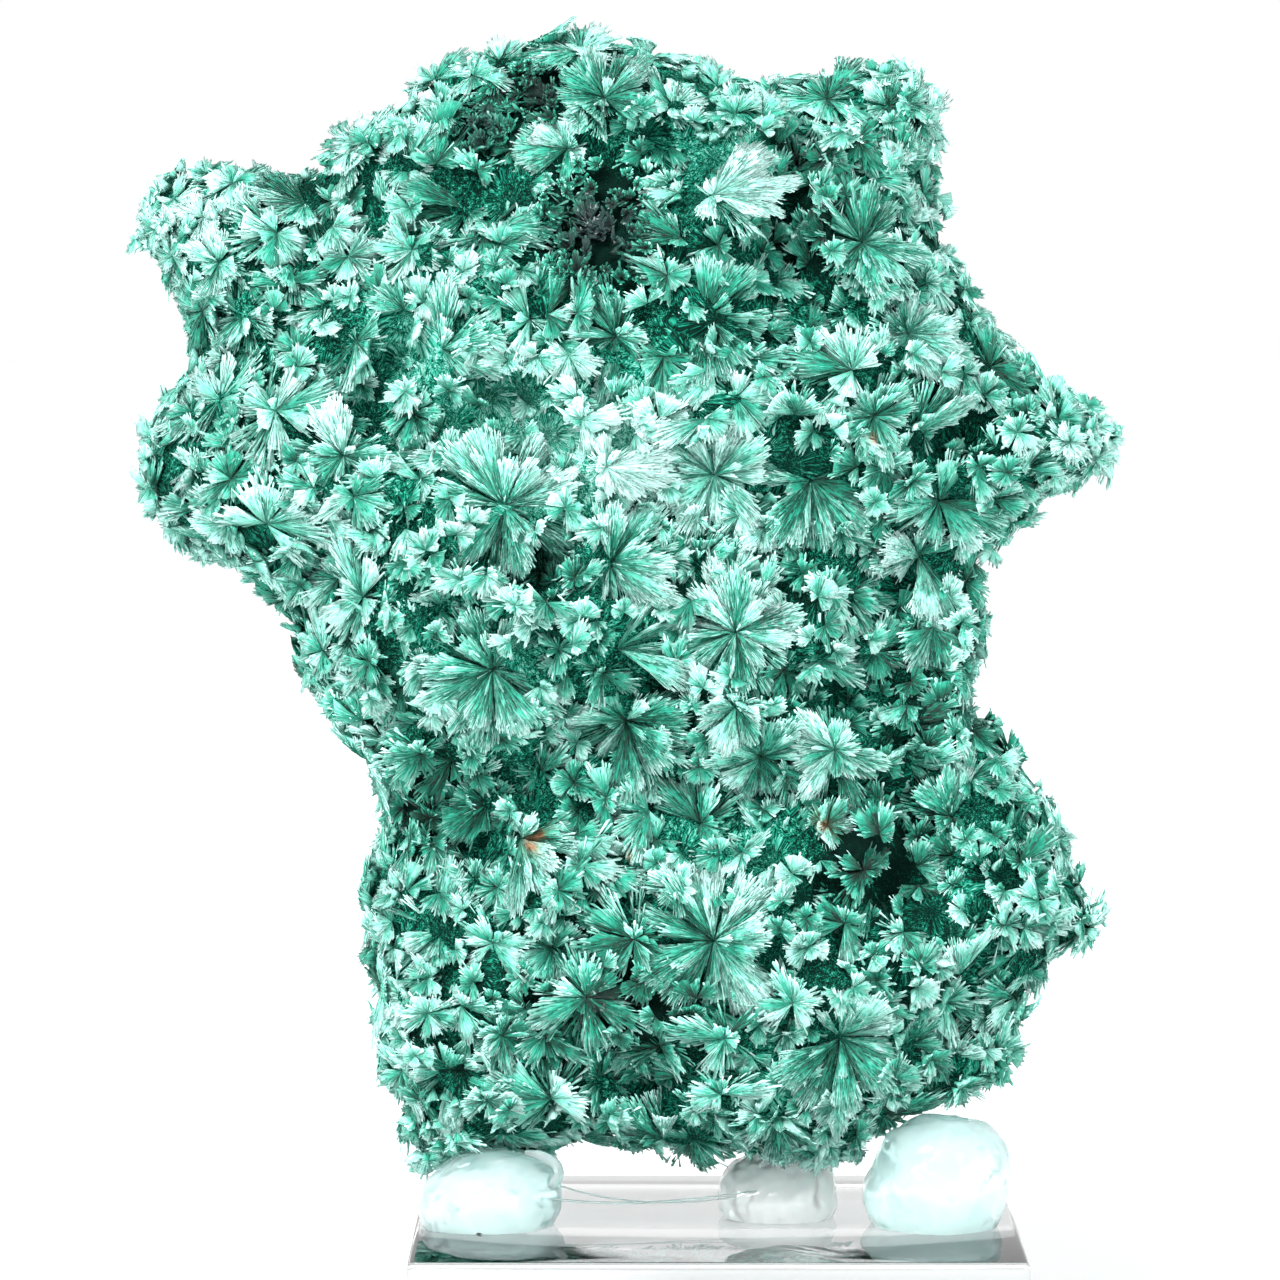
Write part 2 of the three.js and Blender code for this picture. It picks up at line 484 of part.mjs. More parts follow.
// The origin is the middle of the whole specimen's footprint, on the surface it stands on.
const bounds = new THREE.Box3().setFromObject(specimen, true);
const centre = bounds.getCenter(new THREE.Vector3());
specimen.position.set(-centre.x, -centre.y, -bounds.min.z);

export default specimen;
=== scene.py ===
# %% [markdown]
# # A fibrous malachite specimen
# The real piece is a lumpy mass of malachite, about nine centimetres tall. Its outside is grown
# over with sprays: bundles of silky fibres that start from one point and open like fans. It stands
# in blobs of hot-melt glue on a clear block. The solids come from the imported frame, in metres,
# and this script gives them their surface.

import math

import bpy
import numpy as np
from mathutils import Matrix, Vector
from mathutils.bvhtree import BVHTree


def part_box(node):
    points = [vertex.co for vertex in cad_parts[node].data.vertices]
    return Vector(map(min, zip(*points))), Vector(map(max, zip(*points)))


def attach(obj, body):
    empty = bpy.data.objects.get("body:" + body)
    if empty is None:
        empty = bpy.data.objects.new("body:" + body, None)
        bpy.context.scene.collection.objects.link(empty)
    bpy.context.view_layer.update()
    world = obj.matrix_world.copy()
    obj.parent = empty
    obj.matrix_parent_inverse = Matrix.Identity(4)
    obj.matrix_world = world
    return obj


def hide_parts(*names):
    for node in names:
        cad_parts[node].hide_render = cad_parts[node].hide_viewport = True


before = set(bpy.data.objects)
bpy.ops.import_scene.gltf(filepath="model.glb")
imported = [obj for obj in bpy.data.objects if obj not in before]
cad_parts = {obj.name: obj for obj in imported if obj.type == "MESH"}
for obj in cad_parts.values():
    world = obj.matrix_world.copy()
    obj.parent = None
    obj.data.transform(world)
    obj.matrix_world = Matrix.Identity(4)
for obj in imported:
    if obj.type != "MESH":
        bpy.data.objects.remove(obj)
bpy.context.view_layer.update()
MM = 0.001

# %% [markdown]
# ## Where the drawing lies
# The sprays are placed by x and z in millimetres, in the drawing that the solids were made from.
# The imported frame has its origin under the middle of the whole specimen, so the drawing is
# shifted a little. The block's middle is known in both, and the difference is the shift.

# %% From the drawing to the frame
BLOCK_MIDDLE_X = 7.2 * MM
block_low, block_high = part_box("acrylic_block")
SHIFT = Vector((
    (block_low.x + block_high.x) / 2 - BLOCK_MIDDLE_X,
    (block_low.y + block_high.y) / 2,
    block_low.z,
))
BLOCK_TOP = block_high.z
print("shift in mm:", [round(v / MM, 3) for v in SHIFT])


def deselect():
    bpy.ops.object.select_all(action="DESELECT")


def make_active(piece):
    deselect()
    piece.select_set(True)
    bpy.context.view_layer.objects.active = piece


def apply_modifiers(piece):
    make_active(piece)
    for modifier in list(piece.modifiers):
        bpy.ops.object.modifier_apply(modifier=modifier.name)


def clouds_texture(name, size):
    texture = bpy.data.textures.new(name, "CLOUDS")
    texture.noise_scale = size
    return texture


def triangles(piece):
    return sum(len(face.vertices) - 2 for face in piece.data.polygons)


# %% [markdown]
# ## The mass under the fibres
# Between the sprays a rough ground shows, coloured dark as painted shade for the deep gaps. It is
# a copy of the imported solid: its loose triangles are merged, remeshed evenly, smoothed, drawn
# in a little, and roughened with two sizes of noise. The copy follows the lumps and hollows of the
# solid, so the fibres have something to grow on from all sides.

# %% The ground
GROUND_VOXEL = 0.75 * MM
GROUND_DEPTH = 0.7 * MM
MERGE_WITHIN = 0.002 * MM
SMOOTHING_ROUNDS = 32
ROUGHENINGS = (("knobs", 1.6 * MM, 0.9 * MM), ("grit", 0.5 * MM, 0.45 * MM))  # size, then height
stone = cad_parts["malachite"]
ground = bpy.data.objects.new("ground", stone.data.copy())
bpy.context.scene.collection.objects.link(ground)
make_active(ground)
bpy.ops.object.mode_set(mode="EDIT")
bpy.ops.mesh.select_all(action="SELECT")
bpy.ops.mesh.remove_doubles(threshold=MERGE_WITHIN)
bpy.ops.object.mode_set(mode="OBJECT")
STONE_TREE = BVHTree.FromObject(ground, bpy.context.evaluated_depsgraph_get())

remesh = ground.modifiers.new("even", "REMESH")
remesh.mode = "VOXEL"
remesh.voxel_size = GROUND_VOXEL
soften = ground.modifiers.new("soften", "SMOOTH")
soften.factor = 1
soften.iterations = SMOOTHING_ROUNDS
sink = ground.modifiers.new("sink", "DISPLACE")
sink.strength = -GROUND_DEPTH
sink.mid_level = 0
apply_modifiers(ground)
GROUND_TREE = BVHTree.FromObject(ground, bpy.context.evaluated_depsgraph_get())
for name, grain_size, strength in ROUGHENINGS:
    rough = ground.modifiers.new(name, "DISPLACE")
    rough.texture = clouds_texture(name, grain_size)
    rough.texture_coords = "LOCAL"
    rough.strength = strength
    rough.mid_level = 0.6
apply_modifiers(ground)
bpy.ops.object.shade_flat()
print("ground:", triangles(ground), "triangles")

# %% [markdown]
# ## Where each spray grows
# The sprays of the front are listed: x and z of the middle, and how far the petals reach,
# in millimetres. Then comes by how many steps the spray is raised, where it is, and the fan in
# which it opens, where it isn't a full ring: the way it faces, in degrees from +X towards +Z, and
# its spread. A ray along Y finds the stone's surface at each place.

# %% The sprays of the front
FULL = (0, 360)
FRONT_SPRAYS = (
    # upper left arm
    (-33.7, 90.6, 5, 1), (-36.9, 90, 3.2), (-30, 91.5, 4.5), (-25.4, 91.3, 6.5, 1, (205, 170)),
    (-22.2, 96, 6, 1, (275, 100)), (-36, 85.5, 4, 0, (265, 200)), (-30.7, 82.8, 5.5, 1), (-32.5, 87, 5),
    (-26.5, 87, 5.5, 1, (190, 200)), (-23.7, 83.8, 5, 0, (200, 220)), (-32.5, 79.5, 5, -1),
    (-28.5, 78.5, 4.5, -1), (-35, 75.4, 4.5), (-31, 75.6, 5.5, 1, (265, 170)),
    # top
    (-19.6, 90.7, 5.5), (-17.4, 94.6, 5), (-12.3, 91.1, 6.8), (-14.9, 99.6, 4.2), (-18, 97.5, 3.6),
    (-10, 97.4, 4.4), (-7.4, 100.5, 4.5, 1, (125, 160)), (-1.6, 100.2, 6, 1), (-4.8, 96.2, 4.6, -1),
    (1.6, 94.1, 5.4, 1, (75, 90)), (-2.9, 90.6, 4.6), (-6.5, 89, 3.6), (1.6, 89, 3.6),
    (-8.1, 93, 4, -1), (7, 92.8, 9, 2, (10, 250)), (3.9, 99.8, 4.6), (8.7, 99.4, 4.6),
    (6.3, 83.2, 8, 1, (0, 220)), (-0.7, 81.5, 6.6, 1), (-6.9, 84.5, 4.4, 0, (90, 180)),
    (-8.5, 80, 2.8, 1), (12.1, 79.3, 4.4), (-5.3, 86.6, 4.6, -1, (270, 150)),
    # top right corner and right arm
    (20.8, 99.4, 4), (22, 95.8, 3.8), (19, 96.5, 3.6), (18.6, 88.8, 7.4, 2), (22.8, 90.6, 4),
    (22.2, 81.6, 5.8, 1), (17.8, 83.4, 5), (24, 85.4, 4.4, 0, (10, 160)),
    (25.8, 80.4, 4.5, 0, (20, 160)), (19.3, 75.2, 6, 2), (23.1, 73.9, 5.8, 1, (70, 150)),
    (29, 72.6, 3.8, 1, (95, 50)), (27.6, 71.7, 3.6), (31.5, 70.7, 4.8, 1, (80, 180)), (28.3, 76.6, 4.4),
    (32, 75, 4.4), (35.3, 73, 4.4), (34, 70.6, 4), (27.6, 70.2, 5.4, 2, (270, 80)),
    (22.9, 69.8, 4.4, 1), (23.2, 63.8, 6, 1), (24.2, 66, 2.6, 1), (29.4, 68, 4.4), (26.8, 65, 4),
    (15.9, 72.4, 2.8, 2, (0, 140)), (14.6, 70, 6.8, 1), (17.3, 65.7, 4.4, -1),
    (13.1, 75.4, 5.2, 0, (85, 170)), (9.4, 76, 4.4), (17.9, 61, 5.4, 0, (330, 100)),
    (12.6, 59.7, 4.4, 2), (11, 66.4, 3.8, 1), (23.1, 58.4, 3.8), (24.6, 54.6, 4.4), (26, 60.4, 3.4, -1),
    (25.8, 56.6, 3.6, -1), (22.4, 52.2, 5, 1, (265, 140)), (16.4, 56.7, 3.4, 0, (10, 200)),
    (13.6, 54.4, 3.2),
    # belly
    (-17.4, 83.4, 5.4, 1, (90, 190)), (-17.8, 79.5, 6), (-14.4, 80.4, 8, 2, (20, 150)),
    (-25, 76.8, 4.2, 1), (-20.8, 77.6, 4), (-22.2, 72.1, 6.6, 2), (-16.6, 75.4, 5.6, 2, (330, 260)),
    (-31.8, 66, 4.4), (-35, 71, 4.6), (-25.6, 68.7, 3.8, 1), (-25.8, 64, 4.2, 1),
    (-15.8, 65.3, 4.4, 1, (90, 220)), (-9.4, 68.3, 9.5, 2), (-1.4, 71.5, 6, 2), (2.6, 75, 4.2, 1),
    (-3.8, 76.8, 3.6, 1), (0.6, 68, 4, 2, (10, 120)), (-1.2, 63.8, 7.6, 1), (6.9, 70.7, 6, 1),
    (-20.9, 59.3, 3), (-19.2, 60.4, 6, 1, (15, 90)), (-22.4, 57.2, 4.8, 0, (280, 170)),
    (-15.9, 55.2, 4.6), (-10.4, 55.4, 9.5, 1), (-21.7, 53.1, 3.4), (-15.7, 50.6, 4.6), (-12, 48, 4.4),
    (-19.4, 65.6, 5, 0, (250, 160)), (-14.4, 60.4, 4.6, -1), (-13.6, 72.6, 4.6), (-28.6, 61.8, 3.6),
    (8.6, 58.4, 7, 2), (-0.7, 57.2, 8, 2, (15, 110)), (0, 51.2, 7, 1), (8.6, 52.6, 5.2),
    (2.2, 46.6, 4.4), (10.6, 48.4, 6, 1), (5.6, 63.6, 4.8), (16.6, 49, 6, 1), (-4, 46.6, 4.8),
    (-18, 46.6, 4),
    # lower half
    (-10.9, 44.2, 5.4, 1), (-17.6, 40.6, 5.4, 0, (320, 170)), (-8.3, 42, 8.4, 2, (345, 130)),
    (0.2, 40.6, 4, 1), (-15, 34.1, 6.8), (-5.8, 33.3, 5.2, 1), (0.2, 31.3, 5.4), (6.9, 34, 7.8, 1),
    (5, 27.6, 4.4, -2), (-1.8, 21.7, 5.4, -2), (-5.5, 19, 5, 0, (90, 150)),
    (2.9, 16.6, 8, 0, (120, 100)), (3, 24, 3.4, 0, (80, 120)), (-9.8, 26, 5), (-19, 37, 3.6),
    (-18.2, 28.6, 4.6), (-14.6, 22.6, 6.4), (-15.5, 17, 4.2), (-9.2, 16.4, 4, 0, (270, 220)),
    (11.9, 41, 6.8), (15.8, 43, 4.6, 2), (19.6, 37.2, 9, 1, (265, 150)), (22.9, 39, 4.6, 1, (30, 160)),
    (26, 42.9, 6, 1), (14.4, 33.7, 3.4), (13, 30.6, 3, 1), (26.1, 31, 6.4, 1, (110, 100)),
    (9.4, 30.4, 3.6, -1), (12.6, 26.6, 4.6), (17, 26, 7, 1), (22.8, 24.9, 5.4),
    (26.8, 23.6, 4.4, 0, (90, 200)), (6, 19.6, 6, 1, (90, 110)), (11.9, 18.6, 6, 1), (16.4, 16.4, 3.6),
    (32, 34, 5.4, 1, (350, 200)), (29.6, 38.4, 5.4), (29, 27, 4.4), (31.2, 41.6, 4.6), (27.6, 46, 4.8),
    (22.4, 47.4, 5.4), (21.6, 20.8, 4.6), (-12.2, 38.6, 4.8), (-2.1, 36.6, 4.6), (17, 20.6, 4.4),
    (4, 38.4, 4.8), (-4.6, 27.4, 4.4, -1), (-11, 20.4, 4.4),
)
RAISED_STEP = 0.25  # in millimetres
NORMAL_SPREAD = 0.9  # radius over which the stone's normal is averaged, as a share of the reach


def smooth_normal(point, radius):
    near = STONE_TREE.find_nearest_range(point, radius)
    total = sum((normal for _, normal, _, _ in near), Vector((0, 0, 0)))
    return total.normalized()


def front_spot(seed, x, z, reach, raised=0, fan=FULL):
    """A listed spray, with its middle and normal on the stone. Three layers mark the front."""
    start = Vector((x * MM, -1, z * MM)) + SHIFT
    hit = STONE_TREE.ray_cast(start, Vector((0, 1, 0)))[0]
    if hit is None:
        print("no stone under the spray at", x, z)
        return None
    return {"at": hit, "normal": smooth_normal(hit, NORMAL_SPREAD * reach * MM), "reach": reach,
            "fan": fan, "layers": 3, "sunk": -RAISED_STEP * raised, "seed": seed}


FRONT = [front_spot(seed, *row) for seed, row in enumerate(FRONT_SPRAYS)]
FRONT = [spot for spot in FRONT if spot]
print("front sprays:", len(FRONT))

# %% [markdown]
# The photograph doesn't show the edge and the back, but sprays cover them too. Points are drawn
# at random on the stone, with a fixed seed, and each is kept only if it is far enough from those
# kept before it. Smaller sprays fill what is left between. In three dusty places near the top the
# sprays are stunted: the larger ones shrink, and small tufts stand close together. These places
# are given by x, z and radius, and count only at the front of the stone.

# %% The sprays of the edge and the back
chooser = np.random.default_rng(7)
stone_mesh = stone.data
CORNERS = np.array([[stone_mesh.vertices[i].co for i in face.vertices] for face in stone_mesh.polygons])
FACE_NORMALS = np.cross(CORNERS[:, 1] - CORNERS[:, 0], CORNERS[:, 2] - CORNERS[:, 0])
FACE_AREAS = np.linalg.norm(FACE_NORMALS, axis=1) / 2

FRONT_ONLY = 6 * MM  # places noted for the front don't count behind this y
CRUSTS = ((-2.1, 89.8, 5.2), (-6.7, 100.4, 2.4), (-11.5, 97.6, 2.2))
CRUST_MARGIN = 0.15  # how far outside a crust a spray still belongs to it, as a share of its reach
STUNTED = 0.45  # what is left of a larger spray's reach in a crust
NARROW_FAN = 250  # a fan with a smaller spread, in degrees, lies to one side of its middle
LEAST_NORMAL_RADIUS = 2.5
BACK_OF_BETWEEN = 0.1  # small sprays whose normal has a larger y belong to the back


def random_points(count):
    faces = chooser.choice(len(CORNERS), count, p=FACE_AREAS / FACE_AREAS.sum())
    u, v = chooser.random((2, count))
    over = u + v > 1
    u[over], v[over] = 1 - u[over], 1 - v[over]
    a, b, c = CORNERS[faces, 0], CORNERS[faces, 1], CORNERS[faces, 2]
    return a + u[:, None] * (b - a) + v[:, None] * (c - a)


def spaced(points, spacing, taken, taken_radii):
    """Keeps points that are spacing apart and outside the radius of each taken one."""
    kept = []
    for point in points:
        if len(taken) and (np.linalg.norm(taken - point, axis=1) < taken_radii).any():
            continue
        if kept and (np.linalg.norm(np.array(kept) - point, axis=1) < spacing).any():
            continue
        kept.append(point)
    return np.array(kept)


def spots_at(points, least, most, first_seed, fan_range, layers, sunk):
    spots = []
    for i, point in enumerate(points):
        reach = least + (most - least) * chooser.random()
        at = Vector(point)
        fan = (360 * chooser.random(), chooser.uniform(*fan_range))
        normal = smooth_normal(at, max(NORMAL_SPREAD * reach, LEAST_NORMAL_RADIUS) * MM)
        spots.append({"at": at, "normal": normal, "reach": reach, "fan": fan, "layers": layers,
                      "sunk": sunk, "seed": first_seed + i})
    return spots


def middles(spots, share):
    return (np.array([spot["at"] for spot in spots]),
            np.array([spot["reach"] for spot in spots]) * MM * share)


def fan_middles(spots, share):
    """Where each fan lies: a half fan lies to the side that it faces."""
    places, radii = middles(spots, share)
    for index, spot in enumerate(spots):
        facing, spread = spot["fan"]
        if spread < NARROW_FAN:
            side = Vector((math.cos(math.radians(facing)), 0, math.sin(math.radians(facing))))
            places[index] += np.array(side) * radii[index] * 0.5
            radii[index] *= 0.7
    return places, radii


def in_crust(spot):
    x, z = (spot["at"].x - SHIFT.x) / MM, (spot["at"].z - SHIFT.z) / MM
    wider = CRUST_MARGIN * spot["reach"]
    front = spot["at"].y < FRONT_ONLY
    return front and any(math.hypot(x - px, z - pz) < radius + wider for px, pz, radius in CRUSTS)


wide = spaced(random_points(6000), 5.0 * MM, *fan_middles(FRONT, share=0.8))
REST = spots_at(wide, least=4.2, most=6.6, first_seed=1000, fan_range=(240, 420), layers=2, sunk=0.1)
for spot in FRONT + REST:
    if in_crust(spot):
        spot["reach"] *= STUNTED
fine = spaced(random_points(16000), 2.25 * MM, *fan_middles(FRONT + REST, share=0.5))
BETWEEN = spots_at(fine, least=3.2, most=5.6, first_seed=4000, fan_range=(120, 380), layers=1, sunk=0.05)
BETWEEN = [spot for spot in BETWEEN if not in_crust(spot)
           and (spot["normal"].y < BACK_OF_BETWEEN or spot["seed"] % 2)]
close = [point for point in random_points(50000) if in_crust({"at": Vector(point), "reach": 1.8})]
CRUST = spots_at(spaced(close, 1.25 * MM, [], []), least=1.3, most=2.3, first_seed=7000,
                 fan_range=(360, 361), layers=1, sunk=-0.3)
print("stunted sprays of the crust:", len(CRUST))
print("edge and back sprays:", len(REST), "smaller sprays between:", len(BETWEEN))

# %% [markdown]
# Crystals grow until they meet their neighbours. So each spray gets a cell of its own: a fibre may
# only reach a little beyond the line that parts its spray from the next one. Deep places get a
# darker green painted into their colour as shade, so it is noted how open each place is.

# %% Cells and openness
ALL_SPOTS = FRONT + REST + BETWEEN + CRUST
PLACES = np.array([spot["at"] for spot in FRONT + REST])
NORMALS = np.array([spot["normal"] for spot in FRONT + REST])
REACHES = np.array([spot["reach"] for spot in FRONT + REST]) * MM
NEAREST, FARTHEST = 0.3 * MM, 16 * MM  # how far a neighbour's middle may be
SAME_SIDE = 0.3  # how much its normal has at least in common with the spray's own
OPEN_RAYS, OPEN_RANGE = 48, 22 * MM
RAY_HEIGHT, RAY_LEAN = 1.5 * MM, 0.8  # where the rays start over the stone, and their turn outwards


def neighbours(spot, middle, right, over):
    """Each neighbour as x and y in the spray's plane, and the number that sets the parting line."""
    offset = PLACES - np.array(spot["at"])
    apart = np.linalg.norm(offset, axis=1)
    near = (apart > NEAREST) & (apart < FARTHEST) & (NORMALS @ np.array(spot["normal"]) > SAME_SIDE)
    x, y = offset[near] @ right, offset[near] @ over
    line = (x**2 + y**2 + (spot["reach"] * MM) ** 2 - REACHES[near] ** 2) / 2
    return np.stack([x, y, line], axis=1)


def openness(spot):
    """The share of the rays that leave the stone without meeting another part of it."""
    rng = np.random.default_rng(spot["seed"] + 5)
    start = spot["at"] + spot["normal"] * RAY_HEIGHT
    free = 0
    for _ in range(OPEN_RAYS):
        way = Vector(rng.normal(0, 1, 3)).normalized()
        way = (way + spot["normal"] * RAY_LEAN).normalized()
        free += STONE_TREE.ray_cast(start, way, OPEN_RANGE)[0] is None
    return free / OPEN_RAYS


for spot in ALL_SPOTS:
    spot["open"] = openness(spot)
shares = np.percentile([spot["open"] for spot in ALL_SPOTS], (5, 25, 50, 75))
print("openness of a twentieth, a quarter, half and three quarters of the sprays:", shares.round(2))

# %% [markdown]
# ## Patches that this stone has
# Some parts of the front are paler, darker or dustier than the rest, and there are a few rusty
# specks. Each is given by x, z and radius in millimetres. A patch also says how much paler and
# how dusty it is. The dustiest ones lie on the stunted places.

# %% Pale, dark, dusty and rusty places
PATCHES = (
    (-2.1, 89.8, 4.5, -0.75, 0.9), (-6.7, 100.4, 3, -0.6, 0.6), (-11.5, 97.6, 3, -0.4, 0.7),
    (22.3, 98.2, 4, -0.2, 0.3), (-6.9, 71.8, 8, 0.35, 0),
    (1.9, 72.6, 5, 0.3, 0.1), (-35.7, 70.2, 4, 0, 0.5), (-34, 90.6, 4, 0.25, 0.1),
    (9.1, 95.8, 5, 0.2, 0.1), (-15.7, 81.4, 6, 0.2, 0), (37, 73.4, 4, 0.2, 0.3),
    (24.3, 51, 4, -0.25, 0.4), (19.5, 40.6, 5, -0.4, 0), (0.3, 29.4, 5.5, -0.5, 0),
    (-16.5, 21.4, 5, -0.1, 0.3), (-7.7, 27.8, 4, -0.2, 0.4), (13.9, 19.8, 6, 0.1, 0),
    (-28.5, 56.6, 5, -0.25, 0), (-17.3, 44.6, 4, -0.35, 0), (-10, 55, 6, 0.15, 0),
    (11.6, 60.4, 2.4, -0.1, 0.6), (30, 76.6, 3, -0.2, 0), (15, 93, 3, -0.4, 0),
    (-24, 66, 5, 0.1, 0.2), (15, 88.4, 3, -0.3, 0), (7.5, 41.4, 6, 0.1, 0),
)
RUST_SPOTS = ((-7.4, 41.6, 0.6), (-6.6, 42.5, 0.35), (19.3, 73.4, 0.35), (0.2, 40.6, 0.3),
              (15.5, 43, 0.4))


def patches_at(points):
    """For each point: how dusty, how rusty and how much paler it is, each in its own channel."""
    x, z = (points[:, 0] - SHIFT.x) / MM, (points[:, 2] - SHIFT.z) / MM
    facing = np.clip((FRONT_ONLY - points[:, 1]) / FRONT_ONLY, 0, 1)
    values = np.zeros((len(points), 4), np.float32)
    for px, pz, radius, paler, dusty in PATCHES:
        near = facing * np.exp(-((x - px) ** 2 + (z - pz) ** 2) / (0.7 * radius**2))
        values[:, 0] += dusty * near
        values[:, 2] += paler * near
    for px, pz, radius in RUST_SPOTS:
        values[:, 1] += facing * np.exp(-((x - px) ** 2 + (z - pz) ** 2) / radius**2)
    return values


print("patches:", len(PATCHES), "rusty specks:", len(RUST_SPOTS))

# %% [markdown]
# ## A petal, and the fibres on it
# A spray is a ring of petals. A petal is a wedge of fibres grown tightly together, with an arched
# top and a toothed end, so it gets a solid body. Its fibres are short: they start at all distances
# from the middle, lie almost flush on the body, and lean a little outwards from its middle line.
# Each fibre is a needle of four faces, with a ridge along its top that catches the light.
# A petal ends near the line to the next spray, and one whose end would stand out of the stone is
# shortened until it doesn't.

# %% The petals of a spray
LEAST_PETALS, MOST_PETALS, PETALS_PER_REACH = 6, 12, 1.45
TOOTH_WIDTH = 0.5 * MM
MOST_OVER = 0.35 * MM  # how far the tips may stand over the solid's own surface
LONGEST = 7.5 * MM
OVERLAP = 1.36  # how far a petal may pass the line to the next spray
TILT = 0.19  # how much a spray's axis may lean from the stone's normal
GRAIN_ACROSS, GRAIN_ALONG = 8.5, 0.6  # changes of tone per millimetre, across and along a fibre
FRONT_LONGER = 1.14
NARROWINGS = [0.05, 0.16, 0.34]  # how much the petals of a spray narrow towards their ends
LENGTHS, LENGTH_ODDS = [1.0, 1.22, 0.74], [0.55, 0.22, 0.23]
DUSTS, DUST_ODDS = [0, 0.5, 1], [0.7, 0.2, 0.1]
CRUST_SLOPE, CRUST_SHADE, PLAIN_SLOPE = 0.45, 0.1, -0.22
UPPER_PETALS = 0.6  # the share of the front's petals that carry a narrower one
TRIM_ROUNDS, TRIM_TO = 6, 0.87
FIRST_TRIM, LAST_TRIM = 1.6 * MM, 0.85 * MM  # how far out of the stone a petal may end


def chance(first, second):
    """The same number from 0 to 1 for the same pair, as in the drawing of the solids."""
    wave = math.sin(first * 12.9898 + second * 78.233) * 43758.5453
    return wave - math.floor(wave)


def unit(vectors):
    return vectors / np.maximum(np.linalg.norm(vectors, axis=-1, keepdims=True), 1e-12)


def spray_basis(normal):
    """Right and over, lying across the normal, with over towards +Z where it can be."""
    right = np.array((1.0, 0, 0)) if abs(normal[0]) < 0.9 else np.array((0, 1.0, 0))
    right = unit(right - normal * right.dot(normal))
    over = np.cross(normal, right)
    return right, (-over if over[2] < 0 else over)


ANGLE, HALF, LENGTH, SLOPE, SAG, ARCH, DROP, SHADE, DUST, BODY, SEED, POINTED = range(12)


def petals_of(spot):
    """The petals of a spray as rows of the numbers named above."""
    rng = np.random.default_rng(spot["seed"] + 90)
    reach, (facing, spread), seed = spot["reach"], spot["fan"], spot["seed"]
    spread = min(spread, 360)
    pointed = rng.choice(NARROWINGS)
    crust = in_crust(spot)
    most = min(MOST_PETALS, max(LEAST_PETALS, reach * PETALS_PER_REACH)) * (0.85 + pointed)
    count = max(2, int(spread / 360 * most + 0.5))
    step = math.radians(spread / count)
    start = math.radians(facing - spread / 2)
    # A random tone for the spray, made darker where the place is less open: painted shade for hollows.
    spray_tone_with_hollow_shade = rng.uniform(0.2, 0.9) + 1.5 * (spot["open"] - 0.92)
    spot_dust = rng.choice(DUSTS, p=DUST_ODDS)
    rows = []
    for petal in range(count):
        angle = start + step * (petal + 0.5 + rng.uniform(-0.22, 0.22))
        length = reach * MM * (0.84 + 0.26 * chance(seed, petal))
        length *= rng.choice(LENGTHS, p=LENGTH_ODDS)
        length = min(length * (FRONT_LONGER if spot["layers"] > 2 else 1), LONGEST)
        slope = math.atan(0.20 + 0.16 * chance(seed + 0.5, petal)) + rng.uniform(-0.15, 0.25)
        slope += CRUST_SLOPE if crust else PLAIN_SLOPE * (spot["layers"] < 3)
        shade = CRUST_SHADE if crust else float(np.clip(spray_tone_with_hollow_shade + rng.normal(0, 0.28), 0, 1))
        dust = 0.0 if crust else spot_dust * rng.uniform(0.3, 1)
        sag, arch = rng.uniform(0.02, 0.30), rng.uniform(-0.04, 0.14)
        key = seed * 10 + petal
        rows.append((angle, step * rng.uniform(0.4, 0.6) * (1 + 0.5 * pointed), length, slope, sag, arch,
                     0, shade, dust, 1, key, pointed))
        # A narrower petal on top is painted paler, as light falling on the upper layer.
        if spot["layers"] > 2 and rng.random() < UPPER_PETALS:
            rows.append((angle + step * rng.uniform(-0.3, 0.3), step * rng.uniform(0.15, 0.28),
                         length * rng.uniform(0.5, 0.85), slope + rng.uniform(0.05, 0.28), sag, arch,
                         0, min(1, shade + 0.15), dust, 1, key + 0.3, pointed))
        # The fibres in the gap are painted darker, as shade under the petals beside them.
        if spot["layers"] > 1:  # lower fibres in the gap to the next petal, without a body
            rows.append((angle + step * 0.5, step * 0.4, length * rng.uniform(0.7, 1.0), slope - 0.25,
                         sag, arch, 0.35 * MM, max(0, shade - 0.4), 0, 0, key + 0.6, 0.1))
    return np.array(rows), rng


def on_petal(rows, r, a, base):
    """Points on petals: r is the share of the length, a runs from -1 to 1 across."""
    middle, right, over, normal = base[:4]
    angle, half, length, slope, sag, arch, drop = rows.T[:SHADE]
    turn = angle + half * a
    flat = np.cos(turn)[:, None] * right + np.sin(turn)[:, None] * over
    out = (length * r * np.cos(slope))[:, None] * flat
    height = length * (r * np.sin(slope) + arch * 4 * r * (1 - r) - sag * a**2 * r) - drop
    return middle + out + height[:, None] * normal


def petal_end(rows, a, base, toothed=True):
    """The end of each petal at a, as a share of its length, kept near the spray's cell."""
    teeth = np.maximum(2, np.round(2 * rows[:, HALF] * rows[:, LENGTH] / TOOTH_WIDTH))
    place = (np.clip(a, -1, 1) + 1) / 2 * teeth
    tooth = np.minimum(np.floor(place), teeth - 1)
    within = 2 * (place - tooth) - 1
    depth = np.modf(np.abs(np.sin((tooth + 1) * 12.9898 + rows[:, SEED] * 78.233) * 43758.5453))[0]
    turn = rows[:, ANGLE] + rows[:, HALF] * a
    x, y, line = base[4].T
    towards = np.outer(np.cos(turn), x) + np.outer(np.sin(turn), y)
    to_line = np.where(towards > 1e-9, line / np.maximum(towards, 1e-9), 1.0)
    room = np.maximum(to_line.min(axis=1, initial=1.0) * OVERLAP / rows[:, LENGTH], 0.5)
    teeth_cut = (0.9 + 0.1 * depth) * (1 - 0.05 * within**2) if toothed else 0.92
    return np.minimum(1, room) * teeth_cut * (1 - rows[:, POINTED] * np.abs(a) ** 1.5)


